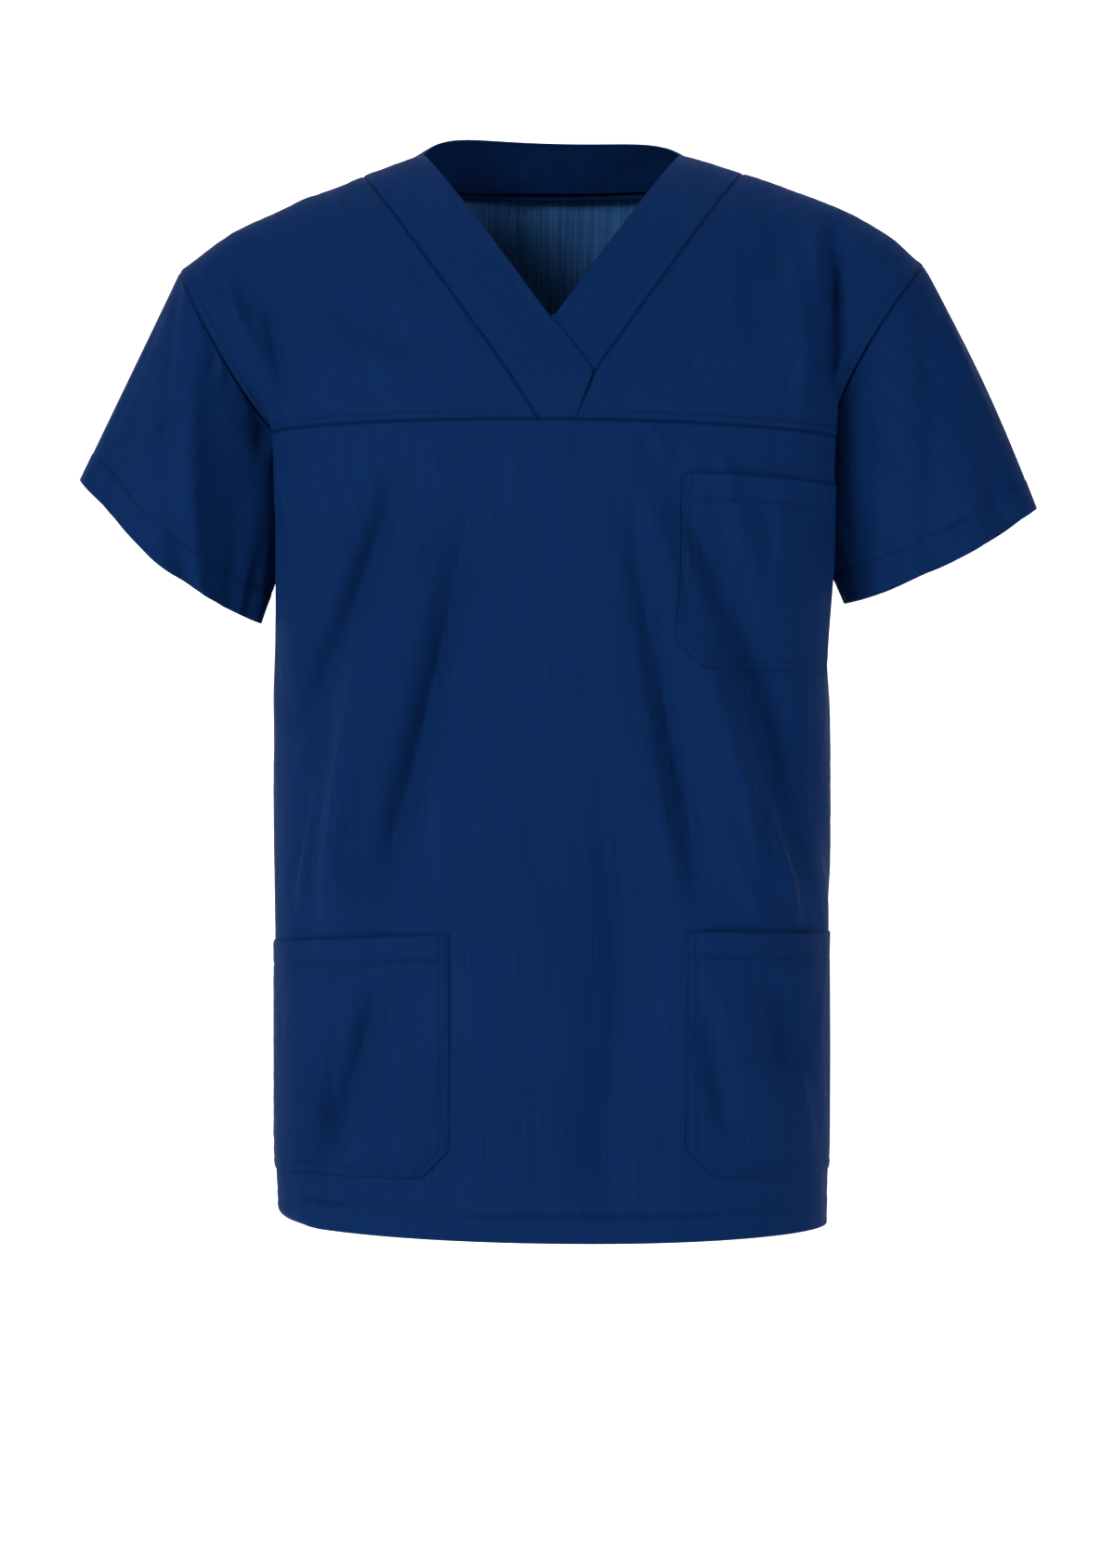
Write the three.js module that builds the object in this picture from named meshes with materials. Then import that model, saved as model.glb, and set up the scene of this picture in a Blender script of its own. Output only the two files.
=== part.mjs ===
// A short-sleeved medical scrub top with a V neck, in the hollow shape it has when worn.
//
// Millimetres, +Z up. The front faces -Y and the wearer's left arm is towards +X. The origin lies midway
// between the two shoulder neck points, where the wearer's shoulders carry the cloth, so nearly all of
// the garment hangs below z = 0.
//
// The cloth is one continuous surface, cut along its seams into the pieces that a maker would sew:
// two front yokes, a front panel, a back panel, two sleeves and three neck bands, with three pockets
// laid on the front. Neighbours share the points of their seam and stop just short of it.

import * as THREE from "three";

const CLOTH = 1.5; // wall of one layer
const SEAM_GAP = 0.3; // between two pieces that meet, and under a pocket
const VALLEY_GAP = 1.4; // where a seam lies at the bottom of a sharp fold
const QUARTER = Math.PI / 2;

const HEM_DROP = 749; // all drops are measured down from the shoulder neck points
const YOKE_DROP = 194; // the seam across the chest
const UNDERARM_DROP = 262;
const RIDGE_Y = 5; // the shoulder seam runs a little behind the origin
const SHOULDER_OUT = 260; // the dropped shoulder ends here, well past the wearer's own
const NECK_OUT = 90; // half the width of the neck opening
const BAND_OUT = 133; // where the neck band's outer seam crosses the shoulder
const V_DROP = 126; // lowest point of the V
const LAP_DROP = 163; // where the upper band's edge reaches the other band's seam
const LAP_OUT = 28;
const BAND_COLUMNS = 3;
const NECK_COLUMNS = 14; // across the back of the neck
const SLEEVE_RINGS = 9;

const BODY_POWER = 2.3; // 2 is an ellipse in plan, more is squarer
const RIDGE_SPREAD = 5; // how late the columns fan out towards the end of the shoulder
const CAP_FULLNESS = 35; // the front and back of the shoulder stand this far out of a plain arc
const CAP_POWER = 4;
const CHEST_RISE = 1.3; // how the columns spread on their way up over the chest and the back
const ARMHOLE_RISE = { right: 0.75, left: 1.4 }; // the wearer's right armhole hangs further out and down

// The shoulder seams seen from the front, as drops at a distance out from the centre line. right and
// left are the wearer's sides. Above the neck opening the line is only a guide for the V.
const SHOULDER_LINE = [
  { out: 0, right: -14, left: -14 },
  { out: 90, right: 0, left: 0 },
  { out: 140, right: 18, left: 15 },
  { out: 194, right: 40, left: 34 },
  { out: 234, right: 61, left: 55.5 },
  { out: 260, right: 82, left: 77.5 },
];

// Level sections of the body. lean lifts the left side and lowers the right, sag lowers both sides,
// and sway shifts the middle of the cloth to the left.
const TORSO = [
  { drop: 194, right: 197, left: 200, front: 111, back: 120, lean: -1.5, sag: 5.5, sway: 0 },
  { drop: 262, right: 197, left: 200, front: 116, back: 121, lean: -1, sag: 4, sway: 1 },
  { drop: 365, right: 195, left: 196, front: 118, back: 116, lean: 0, sag: 3, sway: -4 },
  { drop: 450, right: 194, left: 196, front: 117, back: 111, lean: 2, sag: 5, sway: 0 },
  { drop: 560, right: 193, left: 193, front: 115, back: 111, lean: 3, sag: 7, sway: 6 },
  { drop: 670, right: 193, left: 193, front: 114, back: 115, lean: 1, sag: 5, sway: 6 },
  { drop: 749, right: 191, left: 192, front: 112, back: 118, lean: -2.5, sag: -5.5, sway: 5 },
];

// The edge of the front and of the back: the armhole down to the underarm, then the side seam.
// tuck draws the edge in behind the fold at the front of the arm, drift turns both side seams to the left.
const BODY_EDGE = [
  { drop: 194, front: -26, back: 36, tuck: 9, drift: 0 },
  { drop: 229, front: -14, back: 24, tuck: 13, drift: 0 },
  { drop: 262, front: 5, back: 5, tuck: 16, drift: 0 },
  { drop: 316, front: 5, back: 5, tuck: 9, drift: 2 },
  { drop: 392, front: 5, back: 5, tuck: 1, drift: 6 },
  { drop: 540, front: 5, back: 5, tuck: 0, drift: 10 },
  { drop: 749, front: 5, back: 5, tuck: 0, drift: 10 },
];

// Rows of the body below the yoke seam, at every edge that a pocket needs.
const CHEST_POCKET = { inner: 88, cut: 108, top: 228, corner: 343, bottom: 361, end: 2 };
const LEFT_POCKET = { inner: 88, cut: 108, top: 539, corner: 686, bottom: 706, end: 0 };
const RIGHT_POCKET = { inner: 76, cut: 95, top: 539, corner: 686, bottom: 706, end: 0 };
const ROW_STEPS = [
  { to: CHEST_POCKET.top, steps: 2 },
  { to: UNDERARM_DROP, steps: 2 },
  { to: CHEST_POCKET.corner, steps: 3 },
  { to: CHEST_POCKET.bottom, steps: 1 },
  { to: LEFT_POCKET.top, steps: 6 },
  { to: LEFT_POCKET.corner, steps: 5 },
  { to: LEFT_POCKET.bottom, steps: 1 },
  { to: HEM_DROP, steps: 2 },
];
const POCKET_EASE = 2.2; // how far the middle of a pocket mouth stands off the front

// Neck band outlines on the front: distance out from the centre line against drop.
const SEAM_RIGHT = [
  { out: 9, drop: YOKE_DROP },
  { out: LAP_OUT, drop: LAP_DROP },
  { out: BAND_OUT, drop: 14 },
];
const SEAM_LEFT = [
  { out: 16, drop: YOKE_DROP },
  { out: LAP_OUT, drop: LAP_DROP },
  { out: BAND_OUT, drop: 14 },
];
const V_EDGE = [
  { out: 0, drop: V_DROP },
  { out: NECK_OUT, drop: 0 },
];
const BACK_NECK = { seamDepth: 82, seamDrop: 15, edgeDepth: 57, edgeRise: 18, lean: -2.5, turn: 0.53 };

// Folds, each a soft trough (deep below 0) or ridge along a line from its top to its foot, seen from
// the front. bow moves the middle of the line sideways and wide is half its width.
const FRONT_FOLDS = [
  { x0: -96, z0: -205, x1: -184, z1: -430, bow: 0, wide: 15, deep: -7 },
  { x0: -108, z0: -290, x1: -158, z1: -545, bow: -4, wide: 18, deep: 5 },
  { x0: -44, z0: -208, x1: -131, z1: -548, bow: 2, wide: 17, deep: -9 },
  { x0: -112, z0: -560, x1: -165, z1: -705, bow: 0, wide: 16, deep: -7 },
  { x0: -156, z0: -415, x1: -175, z1: -540, bow: 0, wide: 9, deep: 3 },
  { x0: 49, z0: -222, x1: 106, z1: -540, bow: -3, wide: 11, deep: -5.5 },
  { x0: 92, z0: -320, x1: 148, z1: -545, bow: 4, wide: 14, deep: 4 },
  { x0: 64, z0: -196, x1: 180, z1: -515, bow: 14, wide: 18, deep: -8 },
  { x0: 142, z0: -430, x1: 170, z1: -545, bow: 0, wide: 8, deep: 3.5 },
  { x0: 38, z0: -440, x1: 28, z1: -735, bow: 15, wide: 28, deep: -7 },
  { x0: -18, z0: -500, x1: -26, z1: -749, bow: -6, wide: 40, deep: 4 },
  { x0: 100, z0: -570, x1: 122, z1: -690, bow: 0, wide: 14, deep: -4 },
  { x0: 146, z0: -555, x1: 166, z1: -650, bow: 0, wide: 15, deep: -5 },
  { x0: -163, z0: -95, x1: -88, z1: -162, bow: 0, wide: 22, deep: -3.5 },
  { x0: -204, z0: -85, x1: -184, z1: -190, bow: 0, wide: 11, deep: -6 },
  { x0: -226, z0: -80, x1: -212, z1: -130, bow: 0, wide: 7, deep: 3 },
  { x0: 198, z0: -40, x1: 197, z1: -185, bow: 0, wide: 10, deep: -7 },
  { x0: 165, z0: -70, x1: 172, z1: -180, bow: 0, wide: 16, deep: 3 },
];
const BACK_FOLDS = [
  { x0: -132, z0: -130, x1: -160, z1: -520, bow: -6, wide: 19, deep: -8 },
  { x0: -66, z0: -210, x1: -86, z1: -720, bow: -10, wide: 25, deep: -10 },
  { x0: -104, z0: -380, x1: -128, z1: -749, bow: 0, wide: 22, deep: 5 },
  { x0: -8, z0: -330, x1: 12, z1: -749, bow: 9, wide: 30, deep: -8 },
  { x0: 38, z0: -250, x1: 52, z1: -700, bow: 4, wide: 22, deep: 5 },
  { x0: 82, z0: -190, x1: 104, z1: -650, bow: 8, wide: 22, deep: -9 },
  { x0: 128, z0: -150, x1: 168, z1: -480, bow: 4, wide: 17, deep: -7 },
  { x0: 126, z0: -520, x1: 150, z1: -749, bow: 0, wide: 20, deep: -6 },
  { x0: -34, z0: -35, x1: -52, z1: -170, bow: 0, wide: 10, deep: -3 },
  { x0: 36, z0: -35, x1: 58, z1: -160, bow: 0, wide: 11, deep: -3 },
  { x0: -198, z0: -70, x1: -186, z1: -200, bow: 0, wide: 13, deep: -6 },
  { x0: 200, z0: -70, x1: 188, z1: -200, bow: 0, wide: 13, deep: -6 },
];

// Cuff openings: tip is the outer end of the cuff, heel its inner end under the arm. droop lowers the
// front and back of the cuff, crown fills out the middle of the sleeve and bow its upper edge.
const SLEEVES = {
  right: { hand: -1, tip: [-330, 2, -227], heel: [-204, 8, -327], front: 52, back: 54, droop: 13, crown: 8, bow: 0 },
  left: { hand: 1, tip: [339, 2, -247], heel: [205, 8, -313], front: 52, back: 54, droop: 8, crown: 8, bow: 4 },
};

// Sleeve folds run down the sleeve, each placed by its turn round the sleeve (0 top, 0.5 underarm,
// front first) and by how far down it starts and ends.
const SLEEVE_FOLDS = {
  right: [
    { turn0: 0.1, turn1: 0.13, from: -0.1, to: 1.1, wide: 0.045, deep: -5 },
    { turn0: 0.2, turn1: 0.25, from: 0.05, to: 1.1, wide: 0.035, deep: 7 },
    { turn0: 0.3, turn1: 0.36, from: 0.1, to: 1.1, wide: 0.05, deep: -9 },
    { turn0: 0.72, turn1: 0.7, from: 0, to: 1.1, wide: 0.05, deep: -7 },
    { turn0: 0.87, turn1: 0.85, from: 0, to: 1.1, wide: 0.05, deep: 4 },
  ],
  left: [
    { turn0: 0.12, turn1: 0.14, from: 0, to: 1.1, wide: 0.04, deep: -5 },
    { turn0: 0.24, turn1: 0.27, from: 0.1, to: 1.1, wide: 0.05, deep: 5 },
    { turn0: 0.7, turn1: 0.72, from: 0, to: 1.1, wide: 0.05, deep: -7 },
    { turn0: 0.84, turn1: 0.86, from: 0, to: 1.1, wide: 0.05, deep: 4 },
  ],
};

const NAVY = { color: 0x11305f, roughness: 0.82, metalness: 0 };

const lerp = THREE.MathUtils.lerp;

/** Smooth 0 to 1 as value goes from low to high. */
const ease = (value, low, high) => THREE.MathUtils.smoothstep(value, low, high);

/** Reads one column of a table at a key's value, on a smooth curve that never overshoots the rows. */
function follow(table, key, column, at) {
  const last = table.length - 1;
  const i = Math.min(last - 1, Math.max(0, table.findLastIndex((row) => row[key] <= at)));
  const rate = (n) => {
    const m = Math.min(last - 1, Math.max(0, n));
    return (table[m + 1][column] - table[m][column]) / (table[m + 1][key] - table[m][key]);
  };
  const slope = (n) => {
    const [before, after] = [rate(n - 1), rate(n)];
    return before * after > 0 ? (2 * before * after) / (before + after) : 0;
  };
  const [a, b] = [table[i], table[i + 1]];
  const span = b[key] - a[key];
  const t = (at - a[key]) / span;
  const bend = t * (1 - t) * span;
  const ends = (slope(i) * (1 - t) - slope(i + 1) * t) * bend;
  const straight = (b[column] - a[column]) / span;
  return lerp(a[column], b[column], t) + ends - straight * bend * (1 - 2 * t);
}

/** Reads a piecewise straight line: how far out it is at a drop. */
function outAt(line, drop) {
  const i = line.length > 2 && drop < line[1].drop ? 1 : 0;
  const [a, b] = [line[i], line[i + 1]];
  return lerp(a.out, b.out, (drop - a.drop) / (b.drop - a.drop));
}

/** The root of a rising function between two values. */
function solve(rising, low, high) {
  for (let i = 0; i < 40; i += 1) {
    const middle = (low + high) / 2;
    if (rising(middle) < 0) low = middle;
    else high = middle;
  }
  return (low + high) / 2;
}

/** Values from one number to another in equal steps, ends included. */
const steps = (from, to, count) => Array.from({ length: count + 1 }, (_, i) => lerp(from, to, i / count));

/** A place across the body goes from -1, the wearer's right side, over 0, the centre line, to 1. */
const sideways = (across) => Math.sin(Math.abs(across) * QUARTER) ** (2 / BODY_POWER);
const sideOf = (across) => (across < 0 ? "right" : "left");
const forward = (across) => (Math.abs(across) === 1 ? 0 : Math.cos(across * QUARTER) ** (2 / BODY_POWER));

/** How far out a place across the body lies on the shoulder seam. */
const ridgeOut = (across) => {
  const chest = 197;
  return chest * sideways(across) + (SHOULDER_OUT - chest) * Math.abs(across) ** RIDGE_SPREAD;
};
const BAND_ACROSS = solve((a) => ridgeOut(a) - BAND_OUT, 0, 1);
const NECK_ACROSS = solve((a) => ridgeOut(a) - NECK_OUT, 0, 1);

/** The place across the body that is a distance out from the centre line, at the yoke seam. */
function acrossAt(out, hand) {
  const half = hand < 0 ? TORSO[0].right : TORSO[0].left;
  return (hand * Math.asin((out / half) ** (BODY_POWER / 2))) / QUARTER;
}

/** A point of a level section of the body. side is -1 for the front and 1 for the back. */
function sectionPoint(side, across, drop) {
  const hand = Math.sign(across);
  const read = (column) => follow(TORSO, "drop", column, drop);
  const edge = (column) => follow(BODY_EDGE, "drop", column, drop);
  const tuck = edge("tuck") * ease(Math.abs(across), 0.84, 1);
  let x = hand * (read(sideOf(across)) * sideways(across) - tuck);
  const edgeY = edge(side < 0 ? "front" : "back") + hand * edge("drift");
  const depth = side * read(side < 0 ? "front" : "back");
  x += read("sway") * forward(across);
  const z = (read("lean") * x) / 200 - read("sag") * (x / 200) ** 2 - drop;
  return new THREE.Vector3(x, lerp(edgeY, depth, forward(across)), z);
}

/** The shoulder seam. */
function ridgePoint(across) {
  const out = ridgeOut(across);
  const drop = follow(SHOULDER_LINE, "out", sideOf(across), out);
  return new THREE.Vector3(Math.sign(across) * out, RIDGE_Y, -drop);
}

/** The top of a column of the back: the shoulder seam, or the neck band's seam between the shoulders. */
function backTop(across) {
  if (Math.abs(across) >= BAND_ACROSS) return ridgePoint(across);
  const out = ridgeOut(across) / BAND_OUT;
  const round = Math.sqrt(1 - out * out);
  const shoulder = ridgePoint(BAND_ACROSS).z;
  const z = lerp(shoulder, -BACK_NECK.seamDrop, round * round);
  return new THREE.Vector3(Math.sign(across) * out * BAND_OUT, RIDGE_Y + BACK_NECK.seamDepth * round, z);
}

/** How much of a quarter turn a column of the back makes before it ends: all of it at the shoulders. */
function backTurn(across) {
  const near = Math.min(1, Math.abs(across) / BAND_ACROSS);
  return lerp(BACK_NECK.turn, 1, near ** 2.5);
}

/** A point of the unfolded body. Rows above the yoke seam have a turn from 0 to 1 over the shoulder. */
function plainPoint(side, across, row) {
  const low = sectionPoint(side, across, row.drop);
  if (!row.turn) return low;
  const high = side < 0 ? ridgePoint(across) : backTop(across);
  const whole = (side < 0 ? 1 : backTurn(across)) * QUARTER;
  const angle = row.turn * whole;
  const rise = row.turn === 1 ? 1 : Math.sin(angle) / Math.sin(whole);
  const fall = row.turn === 1 ? 1 : (1 - Math.cos(angle)) / (1 - Math.cos(whole));
  const cap = side * CAP_FULLNESS * Math.abs(across) ** CAP_POWER * Math.sin(row.turn * Math.PI);
  const spread = lerp(CHEST_RISE, ARMHOLE_RISE[sideOf(across)], across ** 4);
  const x = lerp(low.x, high.x, rise ** spread);
  return new THREE.Vector3(x, lerp(low.y, high.y, fall) + (row.turn === 1 ? 0 : cap), lerp(low.z, high.z, rise));
}

/** How far one fold moves the cloth at a point seen from the front. */
function foldDepth(fold, x, z) {
  const length = fold.z0 - fold.z1;
  const t = (fold.z0 - z) / length;
  if (t <= 0 || t >= 1) return 0;
  const slant = Math.hypot(fold.x1 - fold.x0, length) / length;
  const line = lerp(fold.x0, fold.x1, t) + fold.bow * Math.sin(Math.PI * t);
  const off = (x - line) / (fold.wide * slant);
  return fold.deep * Math.exp(-off * off) * ease(t, 0, 0.25) * (1 - ease(t, 0.85, 1));
}

/** A point of the body with its folds, which die out at the side seams, armholes and shoulder seams. */
function bodyPoint(side, across, row) {
  const point = plainPoint(side, across, row);
  const turn = row.turn ?? 0;
  const fade = (1 - ease(Math.abs(across), 0.88, 1)) * (1 - ease(turn, 0.75, 1));
  if (fade === 0) return point;
  const folds = side < 0 ? FRONT_FOLDS : BACK_FOLDS;
  const depth = fade * folds.reduce((sum, fold) => sum + foldDepth(fold, point.x, point.z), 0);
  const small = 1e-3;
  const alongX = plainPoint(side, across + small, row).sub(point);
  const up = plainPoint(side, across, nextUp(row, small)).sub(point);
  const out = alongX.cross(up).normalize();
  return point.addScaledVector(out, -side * depth);
}

/** A row a little further up the body. */
function nextUp(row, small) {
  const turning = row.turn !== undefined;
  return turning ? { drop: row.drop, turn: row.turn + small } : { drop: row.drop - small * 100 };
}

/** Rows of the body from the hem's side down: over the shoulder first, then level ones to the hem. */
const LAP_TURN = Math.asin((YOKE_DROP - LAP_DROP) / YOKE_DROP) / QUARTER;
const V_TURN = Math.asin((YOKE_DROP - V_DROP) / (YOKE_DROP - SHOULDER_LINE[0].right)) / QUARTER;
const TURNS = [1, ...steps(1, V_TURN, 7).slice(1), LAP_TURN, 0];
const SHOULDER_ROWS = TURNS.map((turn) => ({ drop: YOKE_DROP, turn }));
const LEVEL_ROWS = [{ drop: YOKE_DROP }];
for (const { to, steps: count } of ROW_STEPS) {
  const from = LEVEL_ROWS.at(-1).drop;
  LEVEL_ROWS.push(...steps(from, to, count).slice(1).map((drop) => ({ drop })));
}

/** Columns of one side of the front at the yoke seam, from the band's seam out to the armhole. */
function frontColumns(hand, bandOut, pocket, inside, outside) {
  const band = acrossAt(bandOut, hand);
  const inner = acrossAt(pocket.inner, hand);
  const cut = acrossAt(pocket.cut, hand);
  return [...steps(band, inner, inside), ...steps(cut, hand, outside)];
}
const RIGHT_COLUMNS = frontColumns(-1, SEAM_RIGHT[0].out, RIGHT_POCKET, 3, 9);
const LEFT_COLUMNS = frontColumns(1, SEAM_LEFT[0].out, LEFT_POCKET, 4, 9);

/** The place across the front where a row of the yoke meets an outline of the neck band. */
function crossing(turn, hand, line) {
  if (turn === 1) return hand * (line === V_EDGE ? NECK_ACROSS : BAND_ACROSS);
  const gap = (across) => {
    const point = plainPoint(-1, hand * across, { drop: YOKE_DROP, turn });
    return Math.abs(point.x) - outAt(line, -point.z);
  };
  return hand * solve(gap, 1e-6, 0.8);
}

/** The right edge of the upper band, which laps over the other band below the V. */
function lapCrossing(turn) {
  if (turn >= V_TURN) return crossing(turn, -1, V_EDGE);
  if (turn <= LAP_TURN) return crossing(turn, 1, SEAM_LEFT);
  const rise = (turn - LAP_TURN) / (V_TURN - LAP_TURN);
  return lerp(crossing(LAP_TURN, 1, SEAM_LEFT), 0, rise);
}

/** The inner edge of the under band, from the lap up to the shoulder. */
const underCrossing = (turn) => (turn > V_TURN ? crossing(turn, 1, V_EDGE) : lapCrossing(turn));

/** One side's yoke: its columns share out the room between the band's seam and the armhole. */
function yokeGrid(hand, line, columns) {
  const shares = columns.map((across) => (across - columns[0]) / (hand - columns[0]));
  return SHOULDER_ROWS.map((row) => {
    const seam = row.turn ? crossing(row.turn, hand, line) : columns[0];
    return shares.map((share) => bodyPoint(-1, share === 1 ? hand : lerp(seam, hand, share), row));
  });
}

/** The band on top, from the wearer's right shoulder down to the yoke seam. */
function upperBandGrid() {
  return SHOULDER_ROWS.map((row) => {
    const from = row.turn ? crossing(row.turn, -1, SEAM_RIGHT) : RIGHT_COLUMNS[0];
    const to = row.turn ? lapCrossing(row.turn) : LEFT_COLUMNS[0];
    return steps(from, to, BAND_COLUMNS).map((across) => bodyPoint(-1, across, row));
  });
}

/** The band below it, from the wearer's left shoulder down to where it goes under. */
function underBandGrid() {
  return SHOULDER_ROWS.filter((row) => row.turn >= LAP_TURN).map((row) => {
    const from = underCrossing(row.turn);
    const to = crossing(row.turn, 1, SEAM_LEFT);
    return steps(from, to, BAND_COLUMNS).map((across) => bodyPoint(-1, across, row));
  });
}

/** The front below the yoke seam. Its columns start at the points of the yokes and the band. */
const BAND_FOOT = steps(RIGHT_COLUMNS[0], LEFT_COLUMNS[0], BAND_COLUMNS).slice(1, -1);
const FRONT_COLUMNS = [...RIGHT_COLUMNS.toReversed(), ...BAND_FOOT, ...LEFT_COLUMNS];
const frontGrid = () => LEVEL_ROWS.map((row) => FRONT_COLUMNS.map((across) => bodyPoint(-1, across, row)));

/** The back, one piece from the shoulder seams and the neck to the hem. */
function backGrid() {
  const shoulder = (hand, columns) =>
    columns.map((across) => {
      const share = (across - columns[0]) / (hand - columns[0]);
      return share === 1 ? hand : lerp(hand * BAND_ACROSS, hand, share);
    });
  const neck = steps(-BAND_ACROSS, BAND_ACROSS, NECK_COLUMNS).slice(1, -1);
  const columns = [...shoulder(-1, RIGHT_COLUMNS).toReversed(), ...neck, ...shoulder(1, LEFT_COLUMNS)];
  const rows = [...SHOULDER_ROWS, ...LEVEL_ROWS.slice(1)];
  return rows.map((row) => columns.map((across) => bodyPoint(1, across, row)));
}

/** The band round the back of the neck, which stands up from its seam to the neck's edge. */
function backBandGrid() {
  const columns = steps(-BAND_ACROSS, BAND_ACROSS, NECK_COLUMNS);
  return steps(0, 1, BAND_COLUMNS).map((share) =>
    columns.map((across, i) => {
      const hand = Math.sign(across);
      if (i === 0 || i === NECK_COLUMNS) return ridgePoint(hand * lerp(BAND_ACROSS, NECK_ACROSS, share));
      const seam = backTop(across);
      const out = seam.x / BAND_OUT;
      const round = Math.sqrt(1 - out * out);
      const rise = (BACK_NECK.edgeRise + BACK_NECK.lean * out) * (1 - out ** 6) ** 0.6;
      const edge = new THREE.Vector3(NECK_OUT * out, RIDGE_Y + BACK_NECK.edgeDepth * round, rise);
      return seam.lerp(edge, share);
    }),
  );
}

/** The armhole of one side as a ring: from the shoulder down the front and up the back. */
function armholeRing(hand) {
  const edge = (side, row) => bodyPoint(side, hand, row);
  const level = LEVEL_ROWS.filter((row) => row.drop <= UNDERARM_DROP).slice(1);
  const down = [...SHOULDER_ROWS, ...level];
  const front = down.map((row) => edge(-1, row));
  const back = down.map((row) => edge(1, row)).slice(1, -1);
  return [...front, ...back.toReversed()];
}

/** A sleeve as rings from the armhole to the cuff, each ring closed on itself. */
function sleeveGrid(name) {
  const { hand, tip, heel, front, back, droop, crown, bow } = SLEEVES[name];
  const ring = armholeRing(hand);
  const count = ring.length;
  const [outer, inner] = [new THREE.Vector3(...tip), new THREE.Vector3(...heel)];
  const rings = steps(0, 1, SLEEVE_RINGS).map((down) =>
    ring.map((start, i) => {
      const turn = i / count;
      const angle = 2 * Math.PI * turn;
      const side = turn < 0.5 ? -1 : 1;
      const bulge = Math.abs(Math.sin(angle));
      const cuff = outer.clone().lerp(inner, (1 - Math.cos(angle)) / 2);
      cuff.y += side * (side < 0 ? front : back) * bulge;
      cuff.z -= droop * bulge * bulge;
      const point = start.clone().lerp(cuff, down);
      point.y += side * crown * bulge * Math.sin(Math.PI * down);
      point.x += hand * bow * Math.max(0, Math.cos(angle)) * Math.sin(Math.PI * down);
      return point;
    }),
  );
  return rings.map((points, r) => points.map((point, i) => sleeveFold(name, rings, r, i, point.clone())));
}

/** Moves a point of a sleeve by its folds, along the sleeve's own outward direction. */
function sleeveFold(name, rings, r, i, point) {
  const count = rings[0].length;
  const down = r / SLEEVE_RINGS;
  const depth = SLEEVE_FOLDS[name].reduce((sum, fold) => {
    const t = (down - fold.from) / (fold.to - fold.from);
    const off = (i / count - lerp(fold.turn0, fold.turn1, down)) / fold.wide;
    return sum + fold.deep * Math.exp(-off * off) * ease(t, 0, 0.5);
  }, 0);
  const round = rings[r][(i + 1) % count].clone().sub(rings[r][(i + count - 1) % count]);
  const along = rings[Math.min(r + 1, SLEEVE_RINGS)][i].clone().sub(rings[Math.max(r - 1, 0)][i]);
  const out = round.cross(along).normalize().multiplyScalar(SLEEVES[name].hand);
  return point.addScaledVector(out, depth * ease(down, 0, 0.3));
}

/** Triangles of a grid of points, facing out. turned grids face the other way, closed ones join up. */
function gridTriangles(grid, { turned = false, closed = false } = {}) {
  const triangles = [];
  const width = grid[0].length;
  for (let r = 0; r < grid.length - 1; r += 1) {
    for (let c = 0; c < (closed ? width : width - 1); c += 1) {
      const next = (c + 1) % width;
      const cell = [grid[r][c], grid[r + 1][c], grid[r + 1][next], grid[r][next]];
      triangles.push(...cellTriangles(cell, turned));
    }
  }
  return triangles;
}

/** Two triangles of one cell, cut from the upper corner nearer the centre line to the lower one further out. */
function cellTriangles([a, b, c, d], turned) {
  const pair = a.x + d.x > 0 ? [[a, b, c], [a, c, d]] : [[a, b, d], [b, c, d]];
  return turned ? pair.map(([p, q, s]) => [p, s, q]) : pair;
}

/** A point's name, so that pieces which share a point find the same one. */
const nameOf = (p) => [p.x, p.y, p.z].map((value) => Math.round(value * 1000)).join();

/** The outward direction of one piece at each of its points. */
function ownDirections(triangles) {
  const directions = new Map();
  for (const [a, b, c] of triangles) {
    const face = b.clone().sub(a).cross(c.clone().sub(a));
    for (const point of [a, b, c]) {
      const key = nameOf(point);
      if (!directions.has(key)) directions.set(key, new THREE.Vector3());
      directions.get(key).add(face);
    }
  }
  directions.forEach((direction) => direction.normalize());
  return directions;
}

/**
 * Outward directions shared along the seams, so that neighbours meet in a mitre. Where a seam lies in
 * a sharp valley, as under the arm, each piece keeps its own direction and stops further from the seam.
 */
function sharedDirections(pieces) {
  const own = Object.fromEntries(Object.entries(pieces).map(([name, list]) => [name, ownDirections(list)]));
  const meeting = (key) => Object.values(own).flatMap((directions) => directions.get(key) ?? []);
  const share = (direction, key) => {
    const near = meeting(key).filter((other) => other.dot(direction) > 0);
    const out = near.reduce((sum, other) => sum.add(other), new THREE.Vector3()).normalize();
    return { out, draw: (near.length < meeting(key).length ? VALLEY_GAP : SEAM_GAP) / 2 };
  };
  const shareAll = (directions) => new Map([...directions].map(([key, direction]) => [key, share(direction, key)]));
  return Object.fromEntries(Object.entries(own).map(([name, directions]) => [name, shareAll(directions)]));
}

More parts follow.
